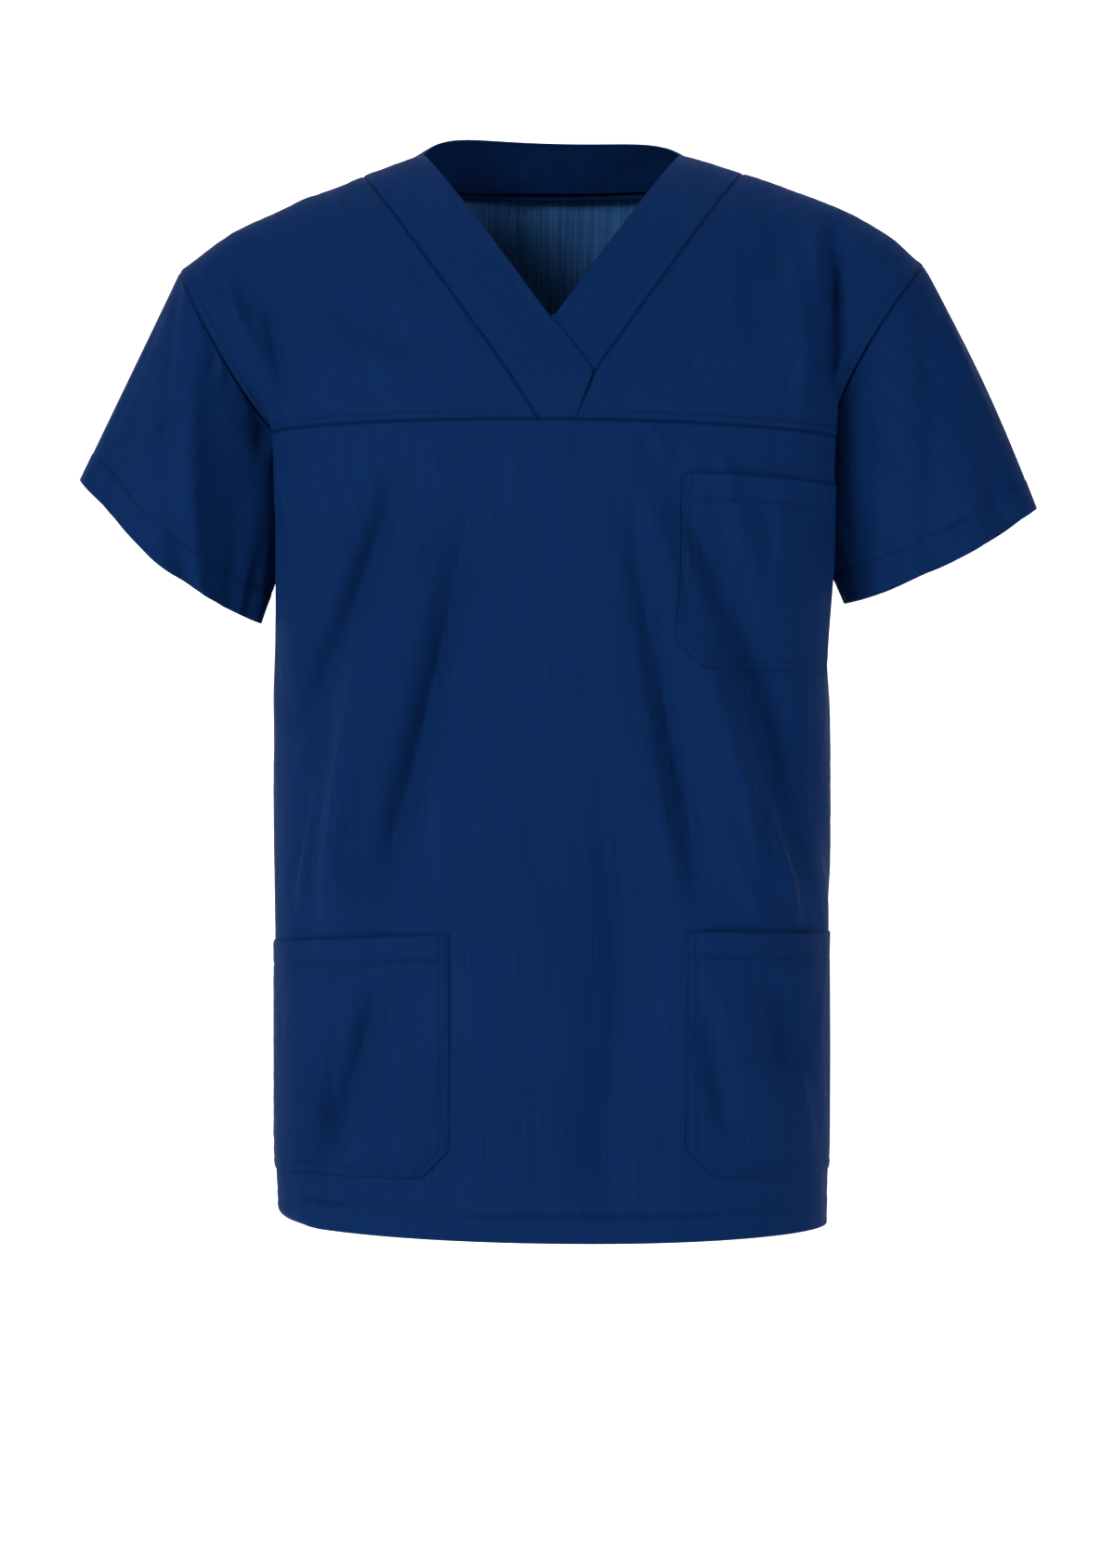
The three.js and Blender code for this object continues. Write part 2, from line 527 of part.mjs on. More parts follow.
/** A closed wall on some triangles of the cloth, between two heights above them. */
function wall(triangles, directions, low, high) {
  const points = new Map();
  const faces = [];
  for (const triangle of triangles) {
    const keys = triangle.map(nameOf);
    if (new Set(keys).size < 3) continue;
    triangle.forEach((point, i) => {
      if (!points.has(keys[i])) points.set(keys[i], { point, id: points.size, inward: [] });
    });
    faces.push(keys);
  }
  const edges = new Set(faces.flatMap(([a, b, c]) => [`${a}>${b}`, `${b}>${c}`, `${c}>${a}`]));
  const rim = [...edges].map((edge) => edge.split(">")).filter(([a, b]) => !edges.has(`${b}>${a}`));
  for (const [a, b] of rim) {
    const along = points.get(b).point.clone().sub(points.get(a).point);
    for (const key of [a, b]) points.get(key).inward.push(directions.get(key).out.clone().cross(along).normalize());
  }
  const count = points.size;
  const positions = new Float32Array(count * 6);
  for (const [key, { point, id, inward }] of points) {
    const { out, draw } = directions.get(key);
    const at = point.clone().add(drawnIn(inward, draw));
    at.clone().addScaledVector(out, high(point)).toArray(positions, id * 3);
    at.clone().addScaledVector(out, low(point)).toArray(positions, (count + id) * 3);
  }
  const ids = (keys) => keys.map((key) => points.get(key).id);
  const index = [];
  for (const [a, b, c] of faces.map(ids)) index.push(a, b, c, count + a, count + c, count + b);
  for (const keys of rim) {
    const [a, b] = ids(keys);
    if (keys[0] < keys[1]) index.push(b, a, count + a, b, count + a, count + b);
    else index.push(b, a, count + b, a, count + a, count + b);
  }
  const geometry = new THREE.BufferGeometry();
  geometry.setAttribute("position", new THREE.BufferAttribute(positions, 3));
  geometry.setIndex(index);
  return geometry;
}

/** The step that takes a corner of a piece a distance in from both of the edges that meet there. */
function drawnIn(inward, distance) {
  if (inward.length === 0) return new THREE.Vector3();
  const [first, second] = inward;
  return first.clone().add(second).multiplyScalar(distance / Math.max(0.4, 1 + first.dot(second)));
}

/** Cells of the front that a pocket covers, with its lower inner corner cut off. */
function pocketTriangles(grid, hand, pocket) {
  const rows = LEVEL_ROWS.map((row) => row.drop);
  const [top, corner, bottom] = [pocket.top, pocket.corner, pocket.bottom].map((drop) => rows.indexOf(drop));
  const columns = hand < 0 ? RIGHT_COLUMNS : LEFT_COLUMNS;
  const inner = FRONT_COLUMNS.indexOf(columns.find((a) => Math.abs(a - acrossAt(pocket.inner, hand)) < 1e-9));
  const edge = hand < 0 ? 0 : FRONT_COLUMNS.length - 1;
  const outer = edge - hand * pocket.end;
  const triangles = [];
  for (let r = top; r < bottom; r += 1) {
    for (let n = inner; n !== outer; n += hand) {
      const [c, next] = hand < 0 ? [n - 1, n] : [n, n + 1];
      const pair = cellTriangles([grid[r][c], grid[r + 1][c], grid[r + 1][next], grid[r][next]], false);
      const cut = r >= corner && n === inner;
      triangles.push(...(cut ? pair.filter((t) => !t.includes(grid[bottom][inner])) : pair));
    }
  }
  return triangles;
}

/** A pocket's mouth stands off the front a little, most in the middle. */
function pocketEase(pocket, hand) {
  return (point) => {
    const across = THREE.MathUtils.clamp((hand * point.x - pocket.inner) / (190 - pocket.inner), 0, 1);
    const up = 1 - THREE.MathUtils.clamp((-point.z - pocket.top) / (pocket.corner - pocket.top), 0, 1);
    return POCKET_EASE * Math.sin(Math.PI * across) * up ** 3;
  };
}

/** A named piece of cloth. */
function piece(name, geometry) {
  geometry.computeVertexNormals();
  const mesh = new THREE.Mesh(geometry, new THREE.MeshStandardMaterial(NAVY));
  mesh.name = name;
  return mesh;
}

/** The whole garment. */
function scrubTop() {
  const front = frontGrid();
  const panels = {
    front_yoke_right: gridTriangles(yokeGrid(-1, SEAM_RIGHT, RIGHT_COLUMNS), { turned: true }),
    front_yoke_left: gridTriangles(yokeGrid(1, SEAM_LEFT, LEFT_COLUMNS)),
    front_panel: gridTriangles(front),
    back_panel: gridTriangles(backGrid(), { turned: true }),
    sleeve_right: gridTriangles(sleeveGrid("right"), { closed: true }),
    sleeve_left: gridTriangles(sleeveGrid("left"), { closed: true, turned: true }),
    neck_band_right: gridTriangles(upperBandGrid()),
    neck_band_left: gridTriangles(underBandGrid()),
    neck_band_back: gridTriangles(backBandGrid()),
  };
  const directions = sharedDirections(panels);
  const pockets = {
    chest_pocket: { hand: 1, pocket: CHEST_POCKET },
    lower_pocket_right: { hand: -1, pocket: RIGHT_POCKET },
    lower_pocket_left: { hand: 1, pocket: LEFT_POCKET },
  };
  const group = new THREE.Group();
  for (const [name, triangles] of Object.entries(panels)) {
    group.add(piece(name, wall(triangles, directions[name], () => -CLOTH, () => 0)));
  }
  for (const [name, { hand, pocket }] of Object.entries(pockets)) {
    const loose = pocketEase(pocket, hand);
    const low = (point) => SEAM_GAP + loose(point);
    const high = (point) => low(point) + CLOTH;
    group.add(piece(name, wall(pocketTriangles(front, hand, pocket), directions.front_panel, low, high)));
  }
  return group;
}

export default scrubTop();
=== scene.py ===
"""A short-sleeved medical scrub top: thin cloth, seams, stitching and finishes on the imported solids."""

import logging
import math
from collections.abc import Callable
from dataclasses import dataclass, field
from enum import Enum

import bpy
import numpy as np
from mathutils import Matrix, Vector


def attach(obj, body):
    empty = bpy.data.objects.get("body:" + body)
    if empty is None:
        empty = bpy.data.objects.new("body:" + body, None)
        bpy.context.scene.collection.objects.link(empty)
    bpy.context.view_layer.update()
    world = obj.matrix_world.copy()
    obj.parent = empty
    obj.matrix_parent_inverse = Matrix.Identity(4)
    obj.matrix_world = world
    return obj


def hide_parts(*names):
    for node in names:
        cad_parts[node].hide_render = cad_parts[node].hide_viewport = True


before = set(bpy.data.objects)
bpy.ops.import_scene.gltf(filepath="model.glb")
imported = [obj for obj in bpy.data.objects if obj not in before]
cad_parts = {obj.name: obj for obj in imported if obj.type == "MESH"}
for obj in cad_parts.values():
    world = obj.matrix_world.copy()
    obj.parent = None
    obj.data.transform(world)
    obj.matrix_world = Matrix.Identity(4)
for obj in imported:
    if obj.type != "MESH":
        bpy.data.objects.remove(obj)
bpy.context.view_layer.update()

logging.basicConfig(level=logging.INFO, format="%(message)s")
LOG = logging.getLogger("scrub_top")

MM = 0.001
QUARTER = math.pi / 2
SHELL = 0.8  # one layer of cloth, mm
BAND_SHELL = 1.4  # the neck bands and pockets are two layers
PITCH = 3.2  # spacing of the mesh away from its edges, mm
BACK_PITCH = 4.6  # the same across the back, which is the largest piece
FINE = 0.9  # spacing beside seams and hems, mm
FINE_ZONE = 8.0  # how far from an edge the mesh stays fine, mm

# Sizes of the solids, mm. A drop is measured down from the shoulder neck points, an out from the middle.
HEM_DROP = 749.0
YOKE_DROP = 194.0
RIDGE_Y = 5.0
SHOULDER_OUT = 260.0
CHEST_OUT = 197.0
NECK_OUT = 90.0
BAND_OUT = 133.0
V_DROP = 126.0
LAP_DROP = 163.0
LAP_OUT = 28.0
SLEEVE_STEPS = 26  # places round the armhole that the sleeve's cut is laid out on
BODY_POWER = 2.3
RIDGE_SPREAD = 5.0
CAP_FULLNESS = 35.0
CAP_POWER = 4.0
CHEST_RISE = 1.3
ARMHOLE_RISE = {"right": 0.75, "left": 1.4}
HEM_DEPTH = 18.0  # turned-up hem of the body
HEM_CORNER = 11.0  # the hem pulls in round this radius at the wearer's right side seam
CORNER_SHARES = (0.6, 0.85)  # shares of the way across between which that pull grows
TUCK_START = 0.84  # the sides are tucked in from here to the side seams
CUFF_DEPTH = 22.0
CORE_WIDTH = 0.5  # the sharp middle of each large fold, as shares of it
CORE_DEPTH = 1.05
CREASE_DEPTH = 2.0  # thin cloth takes the small creases this many times deeper than their tables say
LARGE_ENDS = (0.25, 0.85)  # shares of a fold's length: it has grown by the first and fades from the second
CORE_ENDS = (0.5, 0.66)
CREASE_ENDS = (0.35, 0.65)
FOLD_END = 40.0  # short folds grow and fade over this length, or over the share below of their own
FOLD_END_SHARE = 0.42
CALM_ZONE = 12.0  # the cloth's ripples fade out over this distance from an edge
PUCKER_REACH = 8.0  # how far puckers reach from a seam
HEM_PUCKER_REACH = 7.0
PUCKER_LENGTHS = (8.3, 12.9, 20.3)
ALLOWANCE_STEP = 0.45  # how far the cloth stands up over a stitched-down allowance
HEM_STEP = 0.35
EDGE_ROW = 1.8  # distances of the rows of stitches from the edges
SECOND_ROW = 6.2
ARMHOLE_ROW = 5.2
BAND_ROW = 5.0
CUFF_ROW = 2.0
POCKET_ROWS = (2.0, 7.0)
BAR_STEP = 0.55  # spacing of a bar tack's stitches
BAR_SIZE = (9.0, 1.7)
BAR_INSET = 4.5
SLEEVE_COLUMNS = 145  # points round a sleeve
BAND_COLUMNS = 121  # points along the back neck band
SLEEVE_FOLD_START = 0.3  # shares of a sleeve's length over which its folds and creases grow
SLEEVE_CREASE_START = 0.04
HALVINGS = 40  # steps in which a root is found
EDGE_CALM = 0.88  # folds fade out from here to the side seams, as a share of the way across
SHOULDER_CALM = 0.75  # and from here to the shoulder seam
NEAR_RIDGE = 0.998  # slopes beside the shoulder seam are taken just below it
SEED = 4716

Array = np.ndarray
Line = tuple[tuple[float, float], ...]
Socket = bpy.types.NodeSocket


def lerp(a: Array, b: Array, t: Array) -> Array:
    """Blend from a to b by t."""
    return a + (b - a) * t


def ease(value: Array, low: float, high: float) -> Array:
    """Smooth 0 to 1 as value goes from low to high."""
    t = np.clip((value - low) / (high - low), 0.0, 1.0)
    return t * t * (3 - 2 * t)


class Table:
    """Rows of named sizes, read on smooth curves that never overshoot them."""

    def __init__(self, columns: str, *rows: tuple[float, ...]) -> None:
        """Keep one array for each column; the first column is the key."""
        names = columns.split()
        self.columns = {name: np.array([row[i] for row in rows], float) for i, name in enumerate(names)}
        self.key = self.columns[names[0]]

    def read(self, column: str, at: Array) -> Array:
        """Values of one column.

        Args:
            column: the column's name.
            at: where to read, in the key's units.

        Returns:
            The values, one for each place.
        """
        x, y = self.key, self.columns[column]
        rate = np.diff(y) / np.diff(x)
        before = np.concatenate([rate[:1], rate])
        after = np.concatenate([rate, rate[-1:]])
        product = before * after
        total = np.where(product > 0, before + after, 1.0)
        slope = np.where(product > 0, 2 * product / total, 0.0)
        i = np.clip(np.searchsorted(x, at, side="right") - 1, 0, len(x) - 2)
        span = x[i + 1] - x[i]
        t = (at - x[i]) / span
        bend = t * (1 - t) * span
        ends = (slope[i] * (1 - t) - slope[i + 1] * t) * bend
        return lerp(y[i], y[i + 1], t) + ends - rate[i] * bend * (1 - 2 * t)


SHOULDER_LINE = Table(
    "out right left",
    (0, -14, -14), (90, 0, 0), (140, 18, 15), (194, 40, 34), (234, 61, 55.5), (260, 82, 77.5),
)
TORSO = Table(
    "drop right left front back lean sag sway",
    (194, 197, 200, 111, 120, -1.5, 5.5, 0),
    (262, 197, 200, 116, 121, -1, 4, 1),
    (365, 195, 196, 118, 116, 0, 3, -4),
    (450, 194, 196, 117, 111, 2, 5, 0),
    (560, 193, 193, 115, 111, 3, 7, 6),
    (670, 193, 193, 114, 115, 1, 5, 6),
    (749, 191, 192, 112, 118, -2.5, -5.5, 5),
)
BODY_EDGE = Table(
    "drop front back tuck drift",
    (194, -26, 36, 9, 0),
    (229, -14, 24, 13, 0),
    (262, 5, 5, 16, 0),
    (316, 5, 5, 9, 2),
    (392, 5, 5, 1, 6),
    (540, 5, 5, 0, 10),
    (749, 5, 5, 0, 10),
)
SEAM_RIGHT: Line = ((9, YOKE_DROP), (LAP_OUT, LAP_DROP), (BAND_OUT, 14))
SEAM_LEFT: Line = ((16, YOKE_DROP), (LAP_OUT, LAP_DROP), (BAND_OUT, 14))
V_EDGE: Line = ((0, V_DROP), (NECK_OUT, 0))
BACK_NECK = {"seam_depth": 82, "seam_drop": 15, "edge_depth": 57, "edge_rise": 18, "lean": -2.5, "turn": 0.53}


@dataclass(frozen=True)
class Fold:
    """A soft trough (deep below 0) or ridge down a line seen from the front, in millimetres."""

    x0: float
    z0: float
    x1: float
    z1: float
    bow: float
    wide: float
    deep: float

    def depth(self, x: Array, z: Array, ends: tuple[float, float] = LARGE_ENDS) -> Array:
        """How far the fold moves the cloth at each point.

        Args:
            x: the points' places from the middle.
            z: their heights.
            ends: shares of its length: the fold has grown by the first and fades from the second.

        Returns:
            The moves, in millimetres.
        """
        length = self.z0 - self.z1
        t = (self.z0 - z) / length
        inside = (t > 0) & (t < 1)
        t = np.clip(t, 0, 1)
        slant = math.hypot(self.x1 - self.x0, length) / length
        line = lerp(self.x0, self.x1, t) + self.bow * np.sin(np.pi * t)
        off = (x - line) / (self.wide * slant)
        soft = min(FOLD_END_SHARE, FOLD_END / length)
        strength = ease(t, 0, max(ends[0], soft)) * (1 - ease(t, min(ends[1], 1 - soft), 1))
        return np.where(inside, self.deep * np.exp(-off * off) * strength, 0.0)

    def core(self) -> "Fold":
        """The narrow middle of the fold, where thin cloth bends more sharply than the solid does."""
        wide, deep = self.wide * CORE_WIDTH, self.deep * CORE_DEPTH
        return Fold(self.x0, self.z0, self.x1, self.z1, self.bow, wide, deep)


def folds(*rows: tuple[float, ...]) -> tuple[Fold, ...]:
    """Folds from rows of x0, z0, x1, z1, bow, wide and deep."""
    return tuple(Fold(*row) for row in rows)


# The large folds of the solids.
FRONT_FOLDS = folds(
    (-96, -205, -184, -430, 0, 15, -7), (-108, -290, -158, -545, -4, 18, 5),
    (-44, -208, -131, -548, 2, 17, -9), (-112, -560, -165, -705, 0, 16, -7),
    (-156, -415, -175, -540, 0, 9, 3), (49, -222, 106, -540, -3, 11, -5.5),
    (92, -320, 148, -545, 4, 14, 4), (64, -196, 180, -515, 14, 18, -8),
    (142, -430, 170, -545, 0, 8, 3.5), (38, -440, 28, -735, 15, 28, -7),
    (-18, -500, -26, -749, -6, 40, 4), (100, -570, 122, -690, 0, 14, -4),
    (146, -555, 166, -650, 0, 15, -5), (-163, -95, -88, -162, 0, 22, -3.5),
    (-204, -85, -184, -190, 0, 11, -6), (-226, -80, -212, -130, 0, 7, 3),
    (198, -40, 197, -185, 0, 10, -7), (165, -70, 172, -180, 0, 16, 3),
)
BACK_FOLDS = folds(
    (-132, -130, -160, -520, -6, 19, -8), (-66, -210, -86, -720, -10, 25, -10),
    (-104, -380, -128, -749, 0, 22, 5), (-8, -330, 12, -749, 9, 30, -8),
    (38, -250, 52, -700, 4, 22, 5), (82, -190, 104, -650, 8, 22, -9),
    (128, -150, 168, -480, 4, 17, -7), (126, -520, 150, -749, 0, 20, -6),
    (-34, -35, -52, -170, 0, 10, -3), (36, -35, 58, -160, 0, 11, -3),
    (-198, -70, -186, -200, 0, 13, -6), (200, -70, 188, -200, 0, 13, -6),
)
# Smaller creases, placed where the photo shows them, and like ones behind.
FRONT_CREASES = folds(
    (-100, -200, -150, -330, 3, 5, -1.2), (-70, -215, -118, -345, 4, 4.5, 1.1),
    (-30, -205, -64, -340, 3, 5, -1.1), (-146, -330, -176, -430, 0, 5, 1.3),
    (-120, -400, -150, -520, -3, 5, 1.2), (-164, -430, -182, -535, 0, 4, -1.2),
    (-60, -360, -92, -500, 2, 6, 1), (8, -215, 14, -420, 3, 9, 0.9), (64, -193, 82, -228, 0, 3.4, 1.5),
    (58, -196, 70, -226, 0, 3.2, -1.3), (76, -240, 96, -345, 2, 4.5, -1.2),
    (110, -235, 132, -330, 3, 5, -1.3), (128, -250, 146, -345, 0, 4, 1.1),
    (118, -370, 140, -470, 2, 5, 1.4), (127, -500, 143, -538, 0, 3.5, 1.6),
    (150, -360, 168, -450, 0, 5, -1.3), (60, -400, 86, -520, 2, 5, 1),
    (164, -612, 178, -700, 0, 5, 1.1), (116, -585, 130, -660, 0, 5, 1.2),
    (-128, -560, -150, -640, 0, 5, 1.2), (-150, -600, -164, -690, 0, 4, -1.2),
    (-96, -575, -112, -650, 0, 6, 0.9), (-12, -540, -20, -700, 4, 8, -0.9),
    (52, -560, 46, -730, 3, 7, 0.9), (10, -640, 6, -745, 0, 6, 0.8),
    (-175, -60, -150, -120, 0, 7, -1.3), (-130, -70, -104, -140, 0, 8, 1.1),
    (-196, -120, -180, -185, 0, 5, 1.2), (-212, -95, -200, -150, 0, 4, -1.2),
    (178, -50, 184, -130, 0, 5, 1.5), (204, -60, 200, -140, 0, 4, 1.4),
    (150, -40, 160, -110, 0, 7, -1.2), (120, -60, 128, -170, 0, 8, 0.8),
    (186, -130, 178, -188, 0, 5, -1.4), (-60, -110, -50, -180, 0, 8, 0.8),
    (92, -120, 98, -186, 0, 7, -0.8), (113, -210, 120, -262, 2, 4.5, 1.7),
    (104, -222, 116, -310, 3, 5, -1.7), (122, -240, 118, -330, 2, 4, 1.3),
    (140, -232, 150, -300, 0, 6, -1.2), (-1, -122, -28, -168, 0, 1.5, 0.6),
    (-66, -585, -92, -738, 0, 9, -1.6), (112, -425, 152, -545, 2, 8, -1.6),
    (-153, -345, -172, -600, 0, 11, -3.2), (-40, -575, -46, -735, 3, 10, 1.0),
    (-152, -585, -160, -738, 0, 13, -2.6), (-136, -380, -150, -560, 0, 9, 1.6),
)
BACK_CREASES = folds(
    (-120, -60, -140, -180, 0, 7, 1.1), (-96, -120, -110, -300, 4, 7, -1.2),
    (-150, -190, -172, -330, 0, 6, 1.3), (-50, -60, -60, -200, 0, 7, 1),
    (-20, -80, -18, -260, 3, 8, -1), (14, -50, 20, -210, -3, 7, 1), (52, -170, 66, -330, 2, 6, -1.1),
    (90, -60, 110, -190, 0, 7, 1.2), (122, -90, 140, -230, 3, 6, -1.2),
    (150, -210, 172, -360, 0, 6, 1.3), (-150, -420, -168, -560, 0, 5, 1.2),
    (-116, -520, -136, -700, 3, 6, -1.2), (-40, -420, -48, -620, 4, 8, 1.1),
    (-6, -520, 4, -740, 5, 7, -1.1), (28, -430, 36, -600, 0, 6, 1.2), (66, -520, 76, -735, 3, 7, -1),
    (104, -430, 124, -600, 4, 6, 1.1), (144, -560, 164, -735, 0, 6, -1.2),
    (-166, -600, -176, -740, 0, 5, 1.1), (-70, -640, -84, -745, 0, 7, 1),
    (-168, -120, -180, -230, 0, 5, -1.4), (172, -110, 182, -220, 0, 5, -1.4),
    (-210, -90, -200, -160, 0, 4, 1.3), (212, -90, 200, -170, 0, 4, 1.3),
)


class Side(Enum):
    """Which half of the body a point is on."""

    FRONT = -1
    BACK = 1


def turn_in(across: Array) -> Array:
    """A step across the body that always stays on it, for slopes."""
    return np.where(across > 0, -1e-3, 1e-3)


class GarmentForm:
    """The whole surface of the garment, worked out from its named sizes as in the solids."""

    def __init__(self) -> None:
        """Find the places across the body where the neck meets the shoulders."""
        self.band_across = float(self.solve(lambda a: self.ridge_out(a) - BAND_OUT, np.zeros(1), 1.0)[0])
        self.neck_across = float(self.solve(lambda a: self.ridge_out(a) - NECK_OUT, np.zeros(1), 1.0)[0])
        self.lap_turn = math.asin((YOKE_DROP - LAP_DROP) / YOKE_DROP) / QUARTER
        self.v_turn = math.asin((YOKE_DROP - V_DROP) / (YOKE_DROP + 14)) / QUARTER

    @staticmethod
    def solve(rising: Callable[[Array], Array], low: Array, high: float) -> Array:
        """Roots of a rising function, by halving.

        Args:
            rising: the function.
            low: a place below each root.
            high: a place above all of them.

        Returns:
            The roots.
        """
        a, b = np.array(low, float), np.full_like(np.array(low, float), high)
        for _ in range(HALVINGS):
            middle = (a + b) / 2
            below = rising(middle) < 0
            a, b = np.where(below, middle, a), np.where(below, b, middle)
        return (a + b) / 2

    @staticmethod
    def sideways(across: Array) -> Array:
        """How far out a place across the body is, from 0 to 1."""
        return np.abs(np.sin(np.abs(across) * QUARTER)) ** (2 / BODY_POWER)

    @staticmethod
    def forward(across: Array) -> Array:
        """How far forward or back a place across the body is, from 0 to 1."""
        return np.clip(np.cos(across * QUARTER), 0, 1) ** (2 / BODY_POWER)

    def ridge_out(self, across: Array) -> Array:
        """How far out a place across the body lies on the shoulder seam."""
        return CHEST_OUT * self.sideways(across) + (SHOULDER_OUT - CHEST_OUT) * np.abs(across) ** RIDGE_SPREAD

    def section_point(self, side: Side, across: Array, drop: Array) -> Array:
        """Points of the level sections of the body.

        Args:
            side: the front or the back.
            across: from -1, the wearer's right side, to 1.
            drop: how far down each section is.

        Returns:
            The points, in millimetres.
        """
        hand = np.sign(across)
        wide = np.where(across < 0, TORSO.read("right", drop), TORSO.read("left", drop))
        tuck = BODY_EDGE.read("tuck", drop) * ease(np.abs(across), TUCK_START, 1)
        x = hand * (wide * self.sideways(across) - tuck) + TORSO.read("sway", drop) * self.forward(across)
        below = np.clip(drop - (HEM_DROP - HEM_CORNER), 0, HEM_CORNER)
        rounded = HEM_CORNER - np.sqrt(HEM_CORNER**2 - below**2)
        x = x + np.where(across < 0, rounded, 0.0) * ease(np.abs(across), *CORNER_SHARES)
        name = side.name.lower()
        edge_y = BODY_EDGE.read(name, drop) + hand * BODY_EDGE.read("drift", drop)
        depth = side.value * TORSO.read(name, drop)
        z = TORSO.read("lean", drop) * x / 200 - TORSO.read("sag", drop) * (x / 200) ** 2 - drop
        return np.stack([x, lerp(edge_y, depth, self.forward(across)), z], -1)

    def ridge_point(self, across: Array) -> Array:
        """Points of the shoulder seams."""
        out = self.ridge_out(across)
        drop = np.where(across < 0, SHOULDER_LINE.read("right", out), SHOULDER_LINE.read("left", out))
        return np.stack([np.sign(across) * out, np.full_like(out, RIDGE_Y), -drop], -1)

    def back_top(self, across: Array) -> Array:
        """The back's upper edge: the shoulder seams and the neck seam between them."""
        out = np.clip(self.ridge_out(across) / BAND_OUT, 0, 1)
        arc = np.sqrt(1 - out * out)
        hand = np.sign(across)
        shoulder = np.where(
            across < 0,
            self.ridge_point(np.full_like(out, -self.band_across))[..., 2],
            self.ridge_point(np.full_like(out, self.band_across))[..., 2],
        )
        z = lerp(shoulder, -BACK_NECK["seam_drop"], arc * arc)
        neck = np.stack([hand * out * BAND_OUT, RIDGE_Y + BACK_NECK["seam_depth"] * arc, z], -1)
        outside = (np.abs(across) >= self.band_across)[..., None]
        return np.where(outside, self.ridge_point(across), neck)

    def plain_point(self, side: Side, across: Array, drop: Array, turn: Array) -> Array:
        """Points of the unfolded body.

        Args:
            side: the front or the back.
            across: from -1, the wearer's right side, to 1.
            drop: how far down each level row is.
            turn: from 0 at the chest to 1 on the shoulder seam.

        Returns:
            The points, in millimetres.
        """
        low = self.section_point(side, across, drop)
        if side is Side.FRONT:
            high, whole = self.ridge_point(across), np.full_like(across, QUARTER)
        else:
            near = np.minimum(1, np.abs(across) / self.band_across)
            high, whole = self.back_top(across), lerp(BACK_NECK["turn"], 1, near**2.5) * QUARTER
        angle = turn * whole
        rise = np.where(turn >= 1, 1, np.sin(angle) / np.sin(whole))
        fall = np.where(turn >= 1, 1, (1 - np.cos(angle)) / (1 - np.cos(whole)))
        cap = side.value * CAP_FULLNESS * np.abs(across) ** CAP_POWER * np.sin(np.clip(turn, 0, 1) * np.pi)
        power = np.where(across < 0, ARMHOLE_RISE["right"], ARMHOLE_RISE["left"])
        spread = lerp(CHEST_RISE, power, across**4)
        x = lerp(low[..., 0], high[..., 0], np.clip(rise, 0, None) ** spread)
        y = lerp(low[..., 1], high[..., 1], fall) + cap
        return np.stack([x, y, lerp(low[..., 2], high[..., 2], rise)], -1)

    def body_point(self, side: Side, across: Array, drop: Array, turn: Array, creased: bool = True) -> Array:
        """Points of the body with its folds.

        Args:
            side: the front or the back.
            across: from -1, the wearer's right side, to 1.
            drop: how far down each level row is.
            turn: 0 for level rows, up to 1 on the shoulder seam.
            creased: whether the smaller creases are added to the large folds.

        Returns:
            The points, in millimetres.
        """
        across, drop, turn = np.broadcast_arrays(across.astype(float), drop.astype(float), turn.astype(float))
        point = self.plain_point(side, across, drop, turn)
        fade = (1 - ease(np.abs(across), EDGE_CALM, 1)) * (1 - ease(turn, SHOULDER_CALM, 1))
        step = turn_in(across)
        along = (self.plain_point(side, across + step, drop, turn) - point) * np.sign(step)[..., None]
        turning = turn > 0
        below = np.where(turning, np.minimum(turn, NEAR_RIDGE), turn)
        over = self.plain_point(side, across, drop, np.where(turning, below + 1e-3, turn))
        base = self.plain_point(side, across, drop, below)
        level = self.plain_point(side, across, drop - 0.1, turn)
        up = np.where(turning[..., None], over - base, level - point)
        out = np.cross(along, up)
        out /= np.maximum(np.linalg.norm(out, axis=-1, keepdims=True), 1e-12)
        large = FRONT_FOLDS if side is Side.FRONT else BACK_FOLDS
        small = FRONT_CREASES if side is Side.FRONT else BACK_CREASES
        x, z = point[..., 0], point[..., 2]
        depth = sum(fold.depth(x, z) for fold in large)
        if creased:
            depth = depth + sum(fold.core().depth(x, z, CORE_ENDS) for fold in large)
            depth = depth + CREASE_DEPTH * sum(fold.depth(x, z, CREASE_ENDS) for fold in small)
        return point + out * (-side.value * depth * fade)[..., None]

    def out_at(self, line: Line, drop: Array) -> Array:
        """How far out a piecewise straight line is at a drop."""
        upper = (drop < line[1][1]) & (len(line) > 2)
        (o0, d0), (o1, d1) = line[0], line[1]
        low = lerp(o0, o1, (drop - d0) / (d1 - d0))
        if len(line) == 2:
            return low
        (o2, d2) = line[2]
        return np.where(upper, lerp(o1, o2, (drop - d1) / (d2 - d1)), low)

    def crossing(self, turn: Array, hand: int, line: Line) -> Array:
        """Places across the front where rows of the yoke meet an outline of the neck band.

        Args:
            turn: the rows.
            hand: -1 for the wearer's right, 1 for the left.
            line: the outline.

        Returns:
            The places, one for each row.
        """

        def gap(across: Array) -> Array:
            """How far beyond the outline a place across is."""
            point = self.plain_point(Side.FRONT, hand * across, np.full_like(turn, YOKE_DROP), turn)
            return np.abs(point[..., 0]) - self.out_at(line, -point[..., 2])

        end = self.neck_across if line is V_EDGE else self.band_across
        return hand * np.where(turn >= 1, end, self.solve(gap, np.full_like(turn, 1e-6), 0.8))

